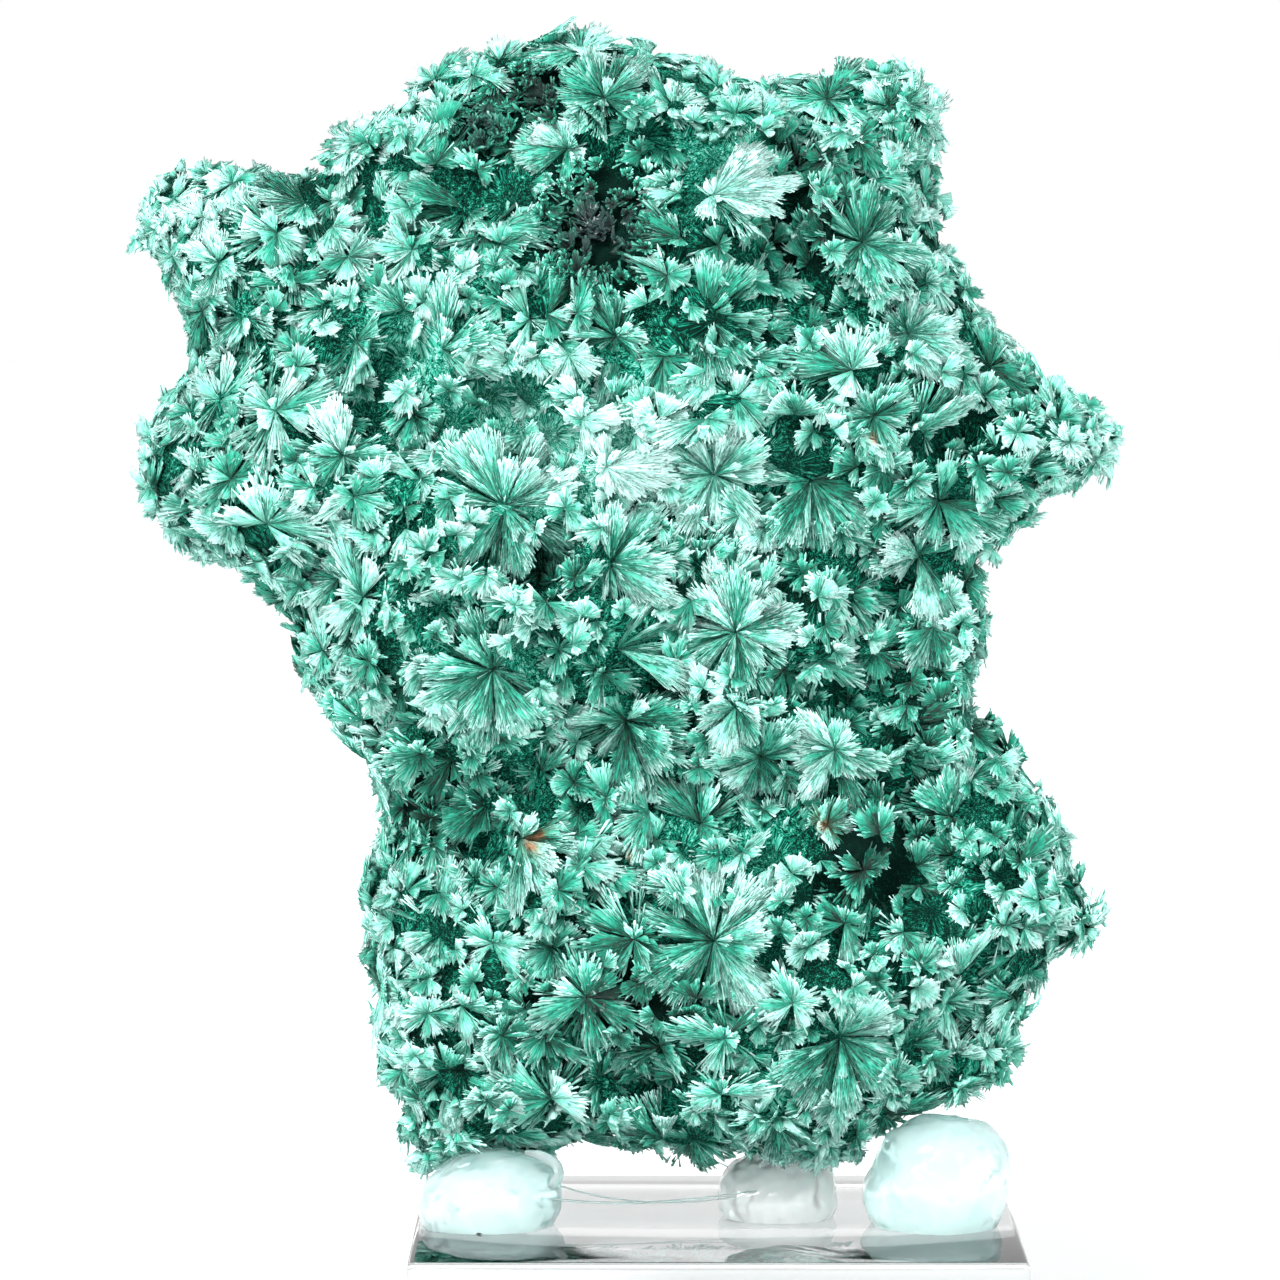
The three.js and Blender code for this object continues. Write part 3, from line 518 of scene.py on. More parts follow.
def tips_of(rows, base):
    """The end of each petal's middle line."""
    middle_line = np.zeros(len(rows))
    return on_petal(rows, petal_end(rows, middle_line, base), middle_line, base)


def marks_at(rows, r, a, tone, base):
    """Marks for the material: how far out, a tone of its own, the petal's tone with painted shade and
    light, how near a side.
    """
    share = np.clip(r / petal_end(rows, a, base), 0, 1)
    return np.stack([0.6 * share + 0.4 * share**6, tone, rows[:, SHADE], np.abs(a) ** 5], axis=-1)


def grain_at(rows, r, a):
    """A place in the fibres' own grain, which is drawn out along them."""
    across = a * rows[:, HALF] * rows[:, LENGTH] / MM * GRAIN_ACROSS
    return np.stack([across, r * rows[:, LENGTH] / MM * GRAIN_ALONG, rows[:, SEED] * 7.3], axis=-1)


def tips_over_stone(tips):
    """How far the tips stand over the solid, in metres, apart from the highest tenth of them."""
    heights = []
    for tip in tips:
        place, normal, _, _ = STONE_TREE.find_nearest(Vector(tip))
        heights.append((Vector(tip) - place).dot(normal))
    return float(np.percentile(heights, 90))


def trim(rows, base, most):
    """Shortens each petal whose end stands out of the stone by more than the given distance."""
    for _ in range(TRIM_ROUNDS):
        for index, tip in enumerate(tips_of(rows, base)):
            place, normal, _, distance = STONE_TREE.find_nearest(Vector(tip))
            if distance > most and (Vector(tip) - place).dot(normal) > 0:
                rows[index, LENGTH] *= TRIM_TO


def spray_base(spot, rows, rng):
    """The spray's middle, its three directions and its neighbours, sunk so that the tips fit."""
    outward = np.array(spot["normal"])
    normal = unit(outward + rng.normal(0, TILT, 3))
    right, over = spray_basis(normal)
    middle = np.array(spot["at"]) + outward * 0.2 * MM
    base = [middle, right, over, normal, neighbours(spot, middle, right, over)]
    trim(rows, base, FIRST_TRIM)
    too_high = max(0.0, tips_over_stone(tips_of(rows, base)) - MOST_OVER)
    base[0] = base[0] - outward * (too_high + spot["sunk"] * MM)
    trim(rows, base, LAST_TRIM)
    return base


# %% [markdown]
# ## Needles and bodies
# Both are given as points in a fixed order, so one function turns either kind into a mesh. A
# needle has a root, two corners where it is widest, and a tip. A body has a grid of points on its
# arched top and one low point under it. Each shape gets a cell of its own in the UV map.

# %% Needles and bodies
NEEDLE_FACES = np.array([(0, 3, 1), (0, 2, 3), (0, 1, 2), (3, 2, 1)])
NEEDLE_CELL = np.array(((0.5, 0.02), (0.06, 0.86), (0.94, 0.86), (0.5, 0.98)))
TIP_NEEDLES = 0.2  # the share of the needles that end at the petal's own end
NEEDLE_WIDTHS = (0.7, 1.35)  # least and most, as shares of the width that is given
BURIED, LIFTED = (0.05, 0.13), (-0.03, 0.09)  # millimetres that roots lie in, and tips over, the petal
BODY_TONE = 0.42
TALL_CELL = 6  # how many times taller than wide a cell of the UV map is


def not_buried(tips, outward):
    """Which tips can leave straight outwards without coming out of the ground."""
    seen = np.ones(len(tips), bool)
    away = Vector(outward)
    for index, tip in enumerate(tips):
        place, normal, _, distance = GROUND_TREE.ray_cast(Vector(tip), away, 8 * MM)
        if place is not None and normal.dot(away) > 0 and distance > 0.3 * MM:
            seen[index] = False
    return seen


def needles(rows, base, rng, width, needle_length, cover):
    """The needles on these petals: points, marks, grain and dust, with a row for each needle."""
    normal = base[3]
    across = np.zeros(len(rows))
    area = rows[:, HALF] * (rows[:, LENGTH] * petal_end(rows, across, base)) ** 2
    counts = np.maximum(6, (cover * area / (0.5 * width * needle_length)).astype(int))
    mine = rows[np.repeat(np.arange(len(rows)), counts)]
    count = len(mine)
    a = rng.uniform(-1, 1, count)
    end = petal_end(mine, a, base)
    at_end = rng.random(count) < TIP_NEEDLES
    r_tip = end * np.where(at_end, rng.uniform(0.94, 1.0, count), np.sqrt(rng.uniform(0.02, 1, count)))
    share = needle_length * rng.uniform(0.6, 1.5, count) / mine[:, LENGTH]
    r_root = np.maximum(0.012, r_tip - share)
    lean = 0.06 * a + rng.normal(0, 0.05, count)
    bury, lift = rng.uniform(*BURIED, count) * MM, rng.uniform(*LIFTED, count) * MM
    root = on_petal(mine, r_root, a - lean, base) - bury[:, None] * normal
    tip = on_petal(mine, r_tip, a + lean, base) + (lift * np.clip(r_tip * 2, 0, 1))[:, None] * normal
    along = unit(tip - root)
    up = unit(normal - along * (along @ normal)[:, None])
    roll = rng.normal(0, 0.4, count)
    crest = np.cos(roll)[:, None] * up + np.sin(roll)[:, None] * np.cross(up, along)
    side = np.cross(crest, along)
    half = (width / 2 * rng.uniform(*NEEDLE_WIDTHS, count) * np.clip(0.4 + r_tip, 0, 1))[:, None]
    near_tip = rng.uniform(0.78, 0.96, count)[:, None]
    wide_at = root + (tip - root) * near_tip - crest * half * 0.6
    points = np.stack([root, wide_at + side * half, wide_at - side * half, tip], axis=1)
    seen = not_buried(tip, normal)
    points, mine, a, lean = points[seen], mine[seen], a[seen], lean[seen]
    r_root, r_tip, near_tip, count = r_root[seen], r_tip[seen], near_tip[seen], int(seen.sum())
    tone = np.clip(rng.normal(0.5, 0.24, count), 0, 1)
    r_wide = r_root + (r_tip - r_root) * near_tip[:, 0]
    corners = ((r_root, a - lean), (r_wide, a + lean), (r_wide, a + lean), (r_tip, a + lean))
    marks = np.stack([marks_at(mine, r, at, tone, base) for r, at in corners], axis=1)
    grain = np.stack([grain_at(mine, r, at) for r, at in corners], axis=1)
    return points, marks, grain, np.repeat(mine[:, DUST][:, None], 4, axis=1)


def body_faces(grid):
    """The grid on the top of a body, and a fan from its rim to one low point."""
    along, across = grid
    row = across + 1
    faces = []
    for i in range(along):
        for j in range(across):
            a, b = i * row + j, i * row + j + 1
            faces += [(a, a + row, b + row), (a, b + row, b)]
    rim = list(range(row)) + [i * row + across for i in range(1, along + 1)]
    rim += [along * row + j for j in range(across - 1, -1, -1)]
    rim += [i * row for i in range(along - 1, 0, -1)]
    faces += [(rim[k], rim[(k + 1) % len(rim)], row * (along + 1)) for k in range(len(rim))]
    return np.array(faces)


def body_cell(grid):
    """The same grid as places in a cell of the UV map."""
    along, across = grid
    return np.array([(0.03 + 0.94 * j / across, 0.03 + 0.94 * i / along)
                     for i in range(along + 1) for j in range(across + 1)] + [(0.5, 0.5)])


def bodies(rows, base, rng, grid):
    """The bodies of these petals, in the same form as the needles."""
    along, across = grid
    longest = 0.9 if grid == FRONT_GRID else 0.8
    levels, places = np.meshgrid(np.linspace(0.02, longest, along + 1), np.linspace(-1, 1, across + 1),
                                 indexing="ij")
    levels, places = np.append(levels, 0.45), np.append(places, 0)
    parts = []
    for row in rows[(rows[:, BODY] == 1) & not_buried(tips_of(rows, base), base[3])]:
        many = np.repeat(row[None], len(levels), axis=0)
        r = levels * petal_end(many, places, base, False)
        ridges = rng.uniform(-0.09, 0.05, len(r)) * MM * np.clip(3 * r, 0, 1)
        points = on_petal(many, r, places, base) + (ridges - 0.05 * MM)[:, None] * base[3]
        points[-1] -= base[3] * (0.5 * MM + 0.12 * row[LENGTH])
        marks = marks_at(many, r, places, np.full(len(r), BODY_TONE), base)
        parts.append((points, marks, grain_at(many, r, places), np.full(len(r), row[DUST])))
    return [np.stack(part) for part in zip(*parts)] if parts else None


def set_marks(mesh, name, values):
    mesh.color_attributes.new(name, "FLOAT_COLOR", "POINT")
    mesh.color_attributes[name].data.foreach_set("color", values.astype(np.float32).ravel())


def make_piece(name, parts, faces, cell):
    """A mesh of many small equal closed shapes."""
    points, marks, grain, dust = (np.concatenate(part) for part in zip(*parts))
    count, corners = points.shape[:2]
    faces = (faces[None] + corners * np.arange(count)[:, None, None]).reshape(-1, 3)
    mesh = bpy.data.meshes.new(name)
    mesh.vertices.add(count * corners)
    mesh.vertices.foreach_set("co", points.astype(np.float32).ravel())
    mesh.loops.add(faces.size)
    mesh.loops.foreach_set("vertex_index", faces.astype(np.int32).ravel())
    mesh.polygons.add(len(faces))
    mesh.polygons.foreach_set("loop_start", np.arange(0, faces.size, 3, dtype=np.int32))
    mesh.polygons.foreach_set("loop_total", np.full(len(faces), 3, dtype=np.int32))
    mesh.update(calc_edges=True)
    patches = patches_at(points.reshape(-1, 3))
    patches[:, 3] = dust.ravel()
    set_marks(mesh, "fibre", marks)
    set_marks(mesh, "patch", patches)
    mesh.attributes.new("grain", "FLOAT_VECTOR", "POINT")
    mesh.attributes["grain"].data.foreach_set("vector", grain.astype(np.float32).ravel())
    columns = int(math.ceil(math.sqrt(count * TALL_CELL)))
    rows = int(math.ceil(count / columns))
    index = np.arange(count)
    corner = np.stack([index % columns, index // columns], axis=1)[:, None, :] + cell[None]
    flat = (corner / (columns, rows)).reshape(-1, 2)[faces.ravel()]
    mesh.uv_layers.new(name="OFBake").data.foreach_set("uv", flat.astype(np.float32).ravel())
    piece = bpy.data.objects.new(name, mesh)
    bpy.context.scene.collection.objects.link(piece)
    print(name, "shapes:", count, "triangles:", len(faces))
    return piece


# %% [markdown]
# ## All the sprays
# The listed sprays of the front get the finest needles, in four bands from top to bottom. The
# edge, the crusts and the small sprays between get coarser ones, and the back the coarsest. A
# needle size is its width and length. The cover says how often the needles cover a petal.

# %% Growing the sprays
FRONT_GRID, PLAIN_GRID, BACK_GRID = (4, 5), (3, 3), (2, 3)
FINE, SIDE, COARSE = (0.14 * MM, 2.0 * MM), (0.23 * MM, 2.3 * MM), (0.40 * MM, 3.2 * MM)
PETALS = {FRONT_GRID: [], PLAIN_GRID: [], BACK_GRID: []}
FIBRES = []


def grow(name, spots, needle_size, cover, grid):
    """Makes one piece of the needles on these sprays, and sets their petals aside by grid."""
    parts = []
    for spot in spots:
        rows, rng = petals_of(spot)
        base = spray_base(spot, rows, rng)
        parts.append(needles(rows, base, rng, *needle_size, cover))
        body = bodies(rows, base, rng, grid)
        if body:
            PETALS[grid].append(body)
    FIBRES.append(make_piece(name, parts, NEEDLE_FACES, NEEDLE_CELL))


def sides(spots, limit):
    """The sprays whose normal has a y under the limit, and the others."""
    return ([spot for spot in spots if spot["normal"].y < limit],
            [spot for spot in spots if spot["normal"].y >= limit])


TOP, UPPER_LINE, BELLY_LINE, LOWER_LINE, BOTTOM = 1.0, 81 * MM, 63 * MM, 40 * MM, -1.0
for name, low, high in (("fibres_crown", UPPER_LINE, TOP), ("fibres_belly", BELLY_LINE, UPPER_LINE),
                        ("fibres_waist", LOWER_LINE, BELLY_LINE), ("fibres_foot", BOTTOM, LOWER_LINE)):
    grow(name, [spot for spot in FRONT if low <= spot["at"].z < high], FINE, cover=1.8, grid=FRONT_GRID)
BACK_OF_REST = 0.3
edge, back = sides(REST, BACK_OF_REST)
grow("fibres_edge", edge, SIDE, cover=1.1, grid=PLAIN_GRID)
grow("fibres_back", back, COARSE, cover=1.15, grid=BACK_GRID)
between, between_back = sides(BETWEEN, BACK_OF_BETWEEN)
grow("fibres_between", between, SIDE, cover=1.3, grid=PLAIN_GRID)
grow("fibres_crust", CRUST, SIDE, cover=1.3, grid=PLAIN_GRID)
grow("fibres_between_back", between_back, COARSE, cover=1.2, grid=BACK_GRID)
for name, grid in (("petals_front", FRONT_GRID), ("petals_rest", PLAIN_GRID),
                   ("petals_back", BACK_GRID)):
    FIBRES.append(make_piece(name, PETALS[grid], body_faces(grid), body_cell(grid)))
print("fibre and petal triangles in all:", sum(triangles(piece) for piece in FIBRES))

# %% [markdown]
# ## The glue
# The specimen is held by three blobs of hot-melt glue. Such glue is squeezed out hot, so it
# spreads on the block, rounds off, and stays wavy where it was pressed. Each blob starts as a few
# overlapping spheres that are fused, smoothed and made a little uneven. Then it is cut flat where
# it meets the block. A sphere is given by its middle and half its width, depth and height, in
# millimetres of the drawing.

# %% Glue blobs
FUSE_VOXEL = 0.28 * MM
GLUE_GAP = 0.01 * MM  # between a blob and the block
GLUE_LUMPS = {
    "glue_left": ((-10.8, -3.9, 12.0, 5.4, 5.8, 4.2), (-14.0, -4.6, 11.6, 2.7, 4.0, 3.0),
                  (-7.4, -3.4, 12.4, 2.4, 4.0, 3.4), (-11.4, -7.4, 11.6, 3.4, 2.2, 2.6),
                  (-5.9, -3.8, 13.9, 0.9, 1.2, 2.3)),
    "glue_middle": ((12.4, 1.2, 11.6, 4.6, 5.6, 4.0), (9.4, 0.6, 11.6, 2.0, 4.4, 3.0),
                    (15.2, 1.0, 11.8, 1.9, 4.6, 3.2)),
    "glue_right": ((25.0, -3.9, 13.2, 5.6, 6.4, 5.8), (28.0, -4.6, 14.6, 2.7, 4.4, 4.0),
                   (21.2, -3.4, 12.2, 2.3, 4.8, 3.2), (24.0, -8.0, 13.6, 3.2, 2.1, 3.0),
                   (22.6, -5.4, 16.0, 2.2, 2.6, 2.4)),
}


def glue_blob(name, lumps):
    spheres = []
    for x, y, z, wide, deep, tall in lumps:
        place = Vector((x, y, z)) * MM + SHIFT
        bpy.ops.mesh.primitive_uv_sphere_add(segments=32, ring_count=18, radius=1, location=place,
                                             scale=(wide * MM, deep * MM, tall * MM))
        spheres.append(bpy.context.object)
    deselect()
    for sphere in spheres:
        sphere.select_set(True)
    bpy.context.view_layer.objects.active = spheres[0]
    bpy.ops.object.join()
    blob = bpy.context.object
    blob.name = name
    bpy.ops.object.transform_apply(location=True, rotation=True, scale=True)
    fuse = blob.modifiers.new("fuse", "REMESH")
    fuse.mode = "VOXEL"
    fuse.voxel_size = FUSE_VOXEL
    melt = blob.modifiers.new("melt", "SMOOTH")
    melt.factor = 0.8
    melt.iterations = 14
    waves = blob.modifiers.new("waves", "DISPLACE")
    waves.texture = clouds_texture(name + "_waves", 2.6 * MM)
    waves.texture_coords = "LOCAL"
    waves.strength = 0.7 * MM
    waves.mid_level = 0.55
    apply_modifiers(blob)
    bpy.ops.object.mode_set(mode="EDIT")
    bpy.ops.mesh.select_all(action="SELECT")
    bpy.ops.mesh.bisect(plane_co=(0, 0, BLOCK_TOP + GLUE_GAP), plane_no=(0, 0, -1), use_fill=True,
                        clear_outer=True)
    bpy.ops.mesh.select_all(action="SELECT")
    bpy.ops.mesh.normals_make_consistent(inside=False)
    bpy.ops.object.mode_set(mode="OBJECT")
    bpy.ops.object.shade_smooth_by_angle(angle=math.radians(40))
    print(name, triangles(blob), "triangles")
    return blob


BLOBS = {node: glue_blob(node.replace("glue_", "hot_glue_"), lumps)
         for node, lumps in GLUE_LUMPS.items()}

# %% [markdown]
# Hot glue also draws threads when the gun is pulled away. Two run along the front, from the left
# blob to the middle one, and a thicker curl stands at the right of the left blob. Each is given
# by its radius and the places that it passes through.

# %% Glue threads
THIN_END = 0.55  # what is left of the radius where a thread ends
THREADS = (
    ("glue_thread_low", 0.11,
     ((-7.2, -6.2, 12.5), (-1, -6.4, 12.15), (5, -5.0, 12.2), (10.6, -3.4, 12.7))),
    ("glue_thread_high", 0.07,
     ((-6.0, -5.6, 13.6), (-2, -6.0, 12.6), (3.4, -5.2, 12.0), (9.2, -3.2, 12.1))),
    ("glue_curl", 0.42,
     ((-5.8, -6.2, 13.4), (-5.4, -7.0, 15.0), (-6.6, -7.3, 16.0), (-8.0, -7.0, 16.3))),
)


def glue_thread(name, radius, places):
    bpy.ops.curve.primitive_bezier_curve_add()
    thread = bpy.context.object
    thread.name = name
    line = thread.data.splines[0]
    line.bezier_points.add(len(places) - 2)
    for knot, place in zip(line.bezier_points, places):
        knot.co = Vector(place) * MM + SHIFT
        knot.handle_left_type = knot.handle_right_type = "AUTO"
    line.bezier_points[-1].radius = THIN_END
    thread.data.bevel_depth = radius * MM
    thread.data.bevel_resolution = 3
    thread.data.use_fill_caps = True
    thread.location = (0, 0, 0)
    make_active(thread)
    bpy.ops.object.convert(target="MESH")
    bpy.ops.object.shade_smooth()
    print(name, triangles(thread), "triangles")
    return thread


STRINGS = [glue_thread(*thread) for thread in THREADS]

# %% [markdown]
# ## The block
# A block of clear acrylic, sawn and polished. A new one has sharp edges that are just broken, so
# the box gets a narrow, rounded bevel.

# %% Clear block
EDGE_ROUNDING = 0.6 * MM
size = block_high - block_low
bpy.ops.mesh.primitive_cube_add(size=1, location=(block_low + block_high) / 2, scale=size)
block = bpy.context.object
block.name = "clear_block"
bpy.ops.object.transform_apply(location=True, rotation=True, scale=True)
bpy.ops.object.mode_set(mode="EDIT")
bpy.ops.mesh.select_all(action="SELECT")
bpy.ops.mesh.bevel(offset=EDGE_ROUNDING, segments=4, affect="EDGES")
bpy.ops.object.mode_set(mode="OBJECT")
bpy.ops.object.shade_smooth_by_angle(angle=math.radians(30))
print("clear block:", triangles(block), "triangles")

# %% [markdown]
# ## The colour of the fibres
# Along each fibre the colour runs from near-black green at the root, where little light gets in,
# over emerald to a pale mint at the frayed tips. Each point of the mesh carries four marks for
# this: how far along its petal it is, a tone of its own, how pale its petal is, and how near the
# petal's side it lies. How pale a petal is also holds painted shade: darker in hollows and for the
# fibres in the gaps under other petals, and paler for the narrow petals on top, as painted light.
# A second attribute holds dust, rust and the paler patches, and a third the place in the fibres'
# own grain. Noise varies the colour over the whole stone.
# The ground has no petals, so its fibres are drawn by the material: streaks run out from a middle
# of their own in each cell of a pattern, as in the sprays above it. Its colour is kept near the
# dark end of the greens, as painted shade for the deep gaps between the sprays.

# %% Helpers for node materials
def new_material(name):
    material = bpy.data.materials.new(name)
    material.use_nodes = True
    nodes = material.node_tree.nodes
    return material, nodes, material.node_tree.links, nodes["Principled BSDF"]


def ramp(nodes, stops):
    node = nodes.new("ShaderNodeValToRGB")
    elements = node.color_ramp.elements
    while len(elements) < len(stops):
        elements.new(0.5)
    for element, (position, colour) in zip(elements, stops):
        element.position = position
        element.color = (*colour, 1)
    return node


def sums(nodes, links, operation, first, second, clamp=False):
    node = nodes.new("ShaderNodeMath")
    node.operation = operation
    node.use_clamp = clamp
    for socket, value in zip(node.inputs, (first, second)):
        if isinstance(value, (int, float)):
            socket.default_value = value
        else:
            links.new(value, socket)
    return node.outputs[0]


def bumped(nodes, links, shader, height, distance):
    bump = nodes.new("ShaderNodeBump")
    bump.inputs["Distance"].default_value = distance
    links.new(height, bump.inputs["Height"])
    links.new(bump.outputs[0], shader.inputs["Normal"])


def noise(nodes, links, coordinates, scale, detail=3.0):
    node = nodes.new("ShaderNodeTexNoise")
    node.inputs["Scale"].default_value = scale
    node.inputs["Detail"].default_value = detail
    links.new(coordinates, node.inputs["Vector"])
    return node.outputs["Fac"]


def blended(nodes, links, amount, first, second):
    node = nodes.new("ShaderNodeMix")
    node.data_type = "RGBA"
    for socket, value in zip((node.inputs[0], node.inputs[6], node.inputs[7]), (amount, first, second)):
        if isinstance(value, tuple):
            socket.default_value = (*value, 1)
        elif isinstance(value, (int, float)):
            socket.default_value = value
        else:
            links.new(value, socket)
    return node.outputs[2]


# %% Malachite
DEEP, EMERALD, LEAF = (0.002, 0.020, 0.014), (0.003, 0.135, 0.082), (0.015, 0.305, 0.205)
MINT, PALE, FROST = (0.135, 0.50, 0.39), (0.35, 0.74, 0.65), (0.58, 0.90, 0.84)
GREENS = ((0.0, DEEP), (0.22, EMERALD), (0.42, LEAF), (0.62, MINT), (0.82, PALE), (1.0, FROST))
DUST_GREY = (0.58, 0.66, 0.68)
RUST = (0.42, 0.10, 0.015)
CRUST_DARK = (0.016, 0.042, 0.040)
FINE_SPECKS = 2500  # changes per metre
STREAK_CELLS = 260


def marks_of(nodes, links, name):
    """The four values that the mesh holds under this name."""
    marks = nodes.new("ShaderNodeAttribute")
    marks.attribute_name = name
    parts = nodes.new("ShaderNodeSeparateColor")
    links.new(marks.outputs["Color"], parts.inputs[0])
    return (*parts.outputs, marks.outputs["Alpha"])


def weighed(nodes, links, start, terms):
    """The start, a number or a socket, plus the sum of each weight times its value."""
    total = start
    for weight, value in terms:
        total = sums(nodes, links, "ADD", sums(nodes, links, "MULTIPLY", value, weight), total)
    return total


def silky(shader, sheen, gloss):
    shader.inputs["Specular IOR Level"].default_value = gloss
    shader.inputs["Sheen Weight"].default_value = sheen
    shader.inputs["Sheen Roughness"].default_value = 0.4


def fibre_material(name):
    material, nodes, links, shader = new_material(name)
    coordinates = nodes.new("ShaderNodeTexCoord").outputs["Object"]
    grain_marks = nodes.new("ShaderNodeAttribute")
    grain_marks.attribute_name = "grain"
    grain = noise(nodes, links, grain_marks.outputs["Vector"], 1.0, 2)
    clouds = noise(nodes, links, coordinates, 110, 4)
    fine = noise(nodes, links, coordinates, FINE_SPECKS)
    out, tone, shade, side = marks_of(nodes, links, "fibre")
    dusty, rusty, paler, petal_dust = marks_of(nodes, links, "patch")
    level = weighed(nodes, links, -0.92, ((0.72, out), (0.5, tone), (0.46, shade), (0.08, side),
                                          (0.85, grain), (0.45, clouds), (0.25, fine), (0.8, paler)))
    colours = ramp(nodes, GREENS)
    links.new(level, colours.inputs[0])
    dust_amount = weighed(nodes, links, -1.17, ((0.5, clouds), (1.2, fine), (0.2, dusty),
                                                (0.22, petal_dust)))
    dust_amount = sums(nodes, links, "MULTIPLY", dust_amount, 4.0, True)
    stunted = sums(nodes, links, "MULTIPLY", weighed(nodes, links, -0.4, ((1.7, dusty),)), 0.85, True)
    colour = blended(nodes, links, stunted, colours.outputs[0], CRUST_DARK)
    colour = blended(nodes, links, dust_amount, colour, DUST_GREY)
    colour = blended(nodes, links, sums(nodes, links, "MULTIPLY", rusty, 0.9, True), colour, RUST)
    links.new(colour, shader.inputs["Base Color"])
    bumped(nodes, links, shader, weighed(nodes, links, grain, ((0.4, fine),)), 0.12 * MM)
    links.new(weighed(nodes, links, 0.4, ((0.3, fine),)), shader.inputs["Roughness"])
    silky(shader, 0.06, 0.2)
    return material


def streaks(nodes, links, coordinates, cells, fineness):
    """Streaks that radiate from a middle of their own in each cell, and how far out each place is."""
    voronoi = nodes.new("ShaderNodeTexVoronoi")
    voronoi.inputs["Scale"].default_value = cells
    links.new(coordinates, voronoi.inputs["Vector"])
    way = nodes.new("ShaderNodeVectorMath")
    way.operation = "SUBTRACT"
    links.new(coordinates, way.inputs[0])
    links.new(voronoi.outputs["Position"], way.inputs[1])
    turned = nodes.new("ShaderNodeVectorMath")
    turned.operation = "NORMALIZE"
    links.new(way.outputs[0], turned.inputs[0])
    return noise(nodes, links, turned.outputs[0], fineness), voronoi.outputs["Distance"]


def ground_material(name):
    material, nodes, links, shader = new_material(name)
    coordinates = nodes.new("ShaderNodeTexCoord").outputs["Object"]
    clouds = noise(nodes, links, coordinates, 200, 4)
    fine = noise(nodes, links, coordinates, FINE_SPECKS)
    broad, far = streaks(nodes, links, coordinates, STREAK_CELLS, 7)
    thin, _ = streaks(nodes, links, coordinates, STREAK_CELLS, 24)
    paler = marks_of(nodes, links, "patch")[2]
    colours = ramp(nodes, GREENS)
    # The low start keeps the ground dark: painted shade for the deep gaps between the sprays.
    level = weighed(nodes, links, -2.1, ((0.5, clouds), (0.2, fine), (1.5, broad), (2.0, thin),
                                         (0.25, far), (1.4, paler)))
    links.new(level, colours.inputs[0])
    links.new(colours.outputs[0], shader.inputs["Base Color"])
    bumped(nodes, links, shader, sums(nodes, links, "ADD", broad, thin), 0.5 * MM)
    silky(shader, 0, 0.05)
    links.new(weighed(nodes, links, 0.6, ((0.2, fine),)), shader.inputs["Roughness"])
    return material


fibre_look = fibre_material("silky_fibres")
ground_look = ground_material("ground_in_painted_shade")
for piece in FIBRES:
    piece.data.materials.append(fibre_look)
set_marks(ground.data, "patch", patches_at(np.array([corner.co for corner in ground.data.vertices])))
ground.data.materials.clear()
ground.data.materials.append(ground_look)
print("looks of the stone:", fibre_look.name, ground_look.name)

# %% [markdown]
# ## Glue and acrylic
# Hot-melt glue is milky: part of the light goes through it and part is scattered inside, which
# gives the pale aqua look. Its skin is glossy, with slow waves. Acrylic is as clear as glass, and
# only its edges and a few fine scratches show.

# %% Clear materials
GLUE_IOR, ACRYLIC_IOR = 1.46, 1.49
GLUE_WAVES = {"wave_scale": 350, "wave_depth": 0.15 * MM}
SPECKS_PALER, SPECKS_FINER = 1.03, 9
SCATTER_DEPTH = 4 * MM


def clear_material(name, tint, scattered, roughness, refraction, wave_scale, wave_depth):
    material, nodes, links, shader = new_material(name)
    coordinates = nodes.new("ShaderNodeTexCoord").outputs["Object"]
    waves = noise(nodes, links, coordinates, wave_scale, 2)
    specks = noise(nodes, links, coordinates, wave_scale * SPECKS_FINER, 4)
    paler = tuple(min(1, value * SPECKS_PALER) for value in tint)
    links.new(blended(nodes, links, specks, tint, paler), shader.inputs["Base Color"])
    links.new(weighed(nodes, links, roughness, ((0.05, specks),)), shader.inputs["Roughness"])
    bumped(nodes, links, shader, waves, wave_depth)
    shader.inputs["IOR"].default_value = refraction
    shader.inputs["Transmission Weight"].default_value = 1 - scattered
    shader.inputs["Subsurface Weight"].default_value = 1.0 if scattered else 0.0
    shader.inputs["Subsurface Radius"].default_value = (1.0, 1.2, 1.1)
    shader.inputs["Subsurface Scale"].default_value = SCATTER_DEPTH
    return material


aqua_glue = clear_material("milky_glue", (0.70, 0.955, 0.915), scattered=0.35, roughness=0.05,
                           refraction=GLUE_IOR, **GLUE_WAVES)
grey_glue = clear_material("greyish_glue", (0.84, 0.95, 0.92), scattered=0.4, roughness=0.08,
                           refraction=GLUE_IOR, **GLUE_WAVES)
acrylic = clear_material("clear_acrylic", (0.965, 0.985, 0.99), scattered=0, roughness=0.0,
                         refraction=ACRYLIC_IOR, wave_scale=120, wave_depth=0.01 * MM)
for node, blob in BLOBS.items():
    blob.data.materials.append(grey_glue if node == "glue_middle" else aqua_glue)
for thread in STRINGS:
    thread.data.materials.append(aqua_glue)
block.data.materials.append(acrylic)
print("clear looks:", aqua_glue.name, grey_glue.name, acrylic.name)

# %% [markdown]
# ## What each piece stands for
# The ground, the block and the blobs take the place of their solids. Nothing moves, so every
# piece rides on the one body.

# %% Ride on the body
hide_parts("malachite")
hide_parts("acrylic_block")
for node, blob in BLOBS.items():
    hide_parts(node)
for slot, pieces in (("malachite", (ground, *FIBRES)), ("clear_acrylic", (block,)),
                     ("clear_glue", (*BLOBS.values(), *STRINGS))):
    for piece in pieces:
        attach(piece, "root")

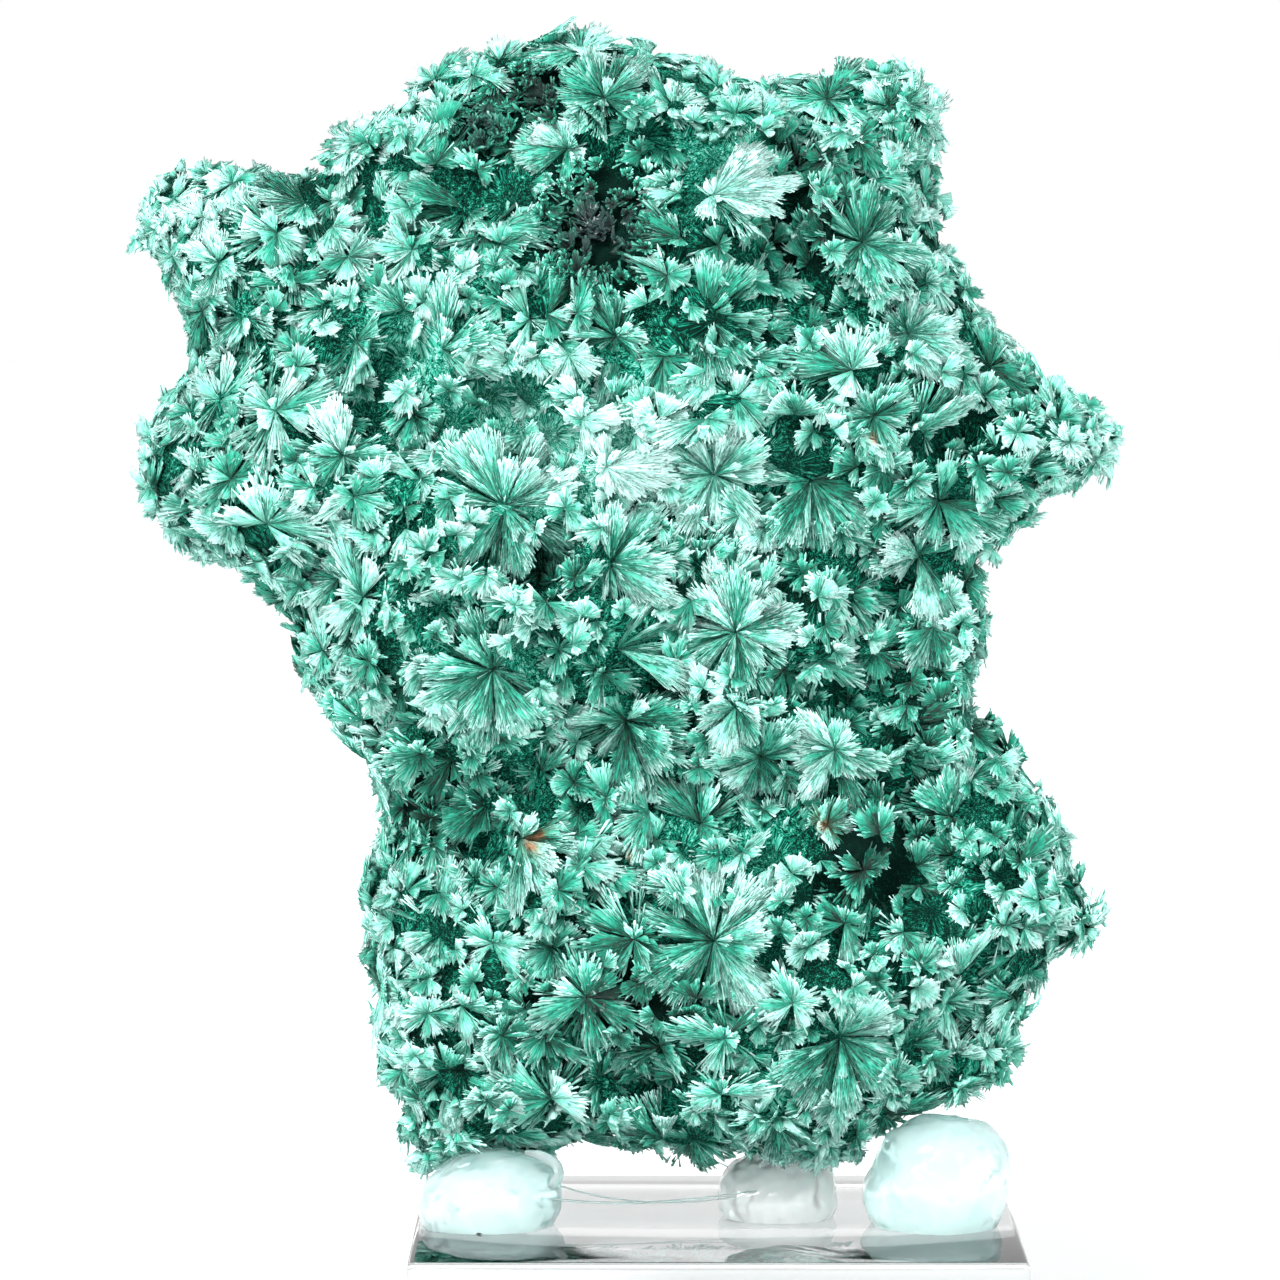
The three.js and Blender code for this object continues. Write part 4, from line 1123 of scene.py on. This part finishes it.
# %% [markdown]
# ## The stage
# A plain pale floor, a white sky and two soft lights. The camera looks down a little, and its
# field is as wide as the photograph.

# %% Stage, lights and camera
FLOOR_GAP = 0.4 * MM  # a film of air under the block, so that light leaves its underside
bpy.ops.mesh.primitive_plane_add(size=3, location=(0, 0.4, -FLOOR_GAP))
floor = bpy.context.object
floor.name = "floor"
make_active(floor)
bpy.ops.object.transform_apply(location=True, rotation=True, scale=True)
floor_look, nodes, links, shader = new_material("pale_floor")
shader.inputs["Base Color"].default_value = (0.96, 0.97, 0.97, 1)
shader.inputs["Roughness"].default_value = 0.6
floor.data.materials.append(floor_look)

world = bpy.data.worlds.new("white_studio")
bpy.context.scene.world = world
world.use_nodes = True
world.node_tree.nodes["Background"].inputs[0].default_value = (1, 1, 1, 1)
world.node_tree.nodes["Background"].inputs[1].default_value = 1.0

FRAME_MIDDLE = Vector((1.12 * MM, 0, 56.6 * MM)) + SHIFT  # what the photograph's middle shows


def soft_light(name, place, size, power):
    lamp = bpy.data.lights.new(name, "AREA")
    lamp.size = size
    lamp.energy = power
    holder = bpy.data.objects.new(name, lamp)
    bpy.context.scene.collection.objects.link(holder)
    holder.location = place
    holder.rotation_euler = (FRAME_MIDDLE - Vector(place)).to_track_quat("-Z", "Y").to_euler()
    print("light:", name, "watts:", power)


soft_light("key", (-0.3, -0.6, 0.65), size=0.3, power=14)
soft_light("fill", (0.6, -0.5, 0.3), size=0.5, power=3)

CAMERA_DISTANCE = 0.6
CAMERA_ELEVATION = math.radians(4.5)
FIELD_WIDTH = 102.4 * MM
camera_data = bpy.data.cameras.new("camera")
camera = bpy.data.objects.new("camera", camera_data)
bpy.context.scene.collection.objects.link(camera)
away = Vector((0, -math.cos(CAMERA_ELEVATION), math.sin(CAMERA_ELEVATION)))
camera.location = FRAME_MIDDLE + away * CAMERA_DISTANCE
camera.rotation_euler = (-away).to_track_quat("-Z", "Y").to_euler()
camera_data.lens = camera_data.sensor_width * CAMERA_DISTANCE / FIELD_WIDTH
bpy.context.scene.camera = camera
bpy.context.scene.view_settings.view_transform = "Standard"
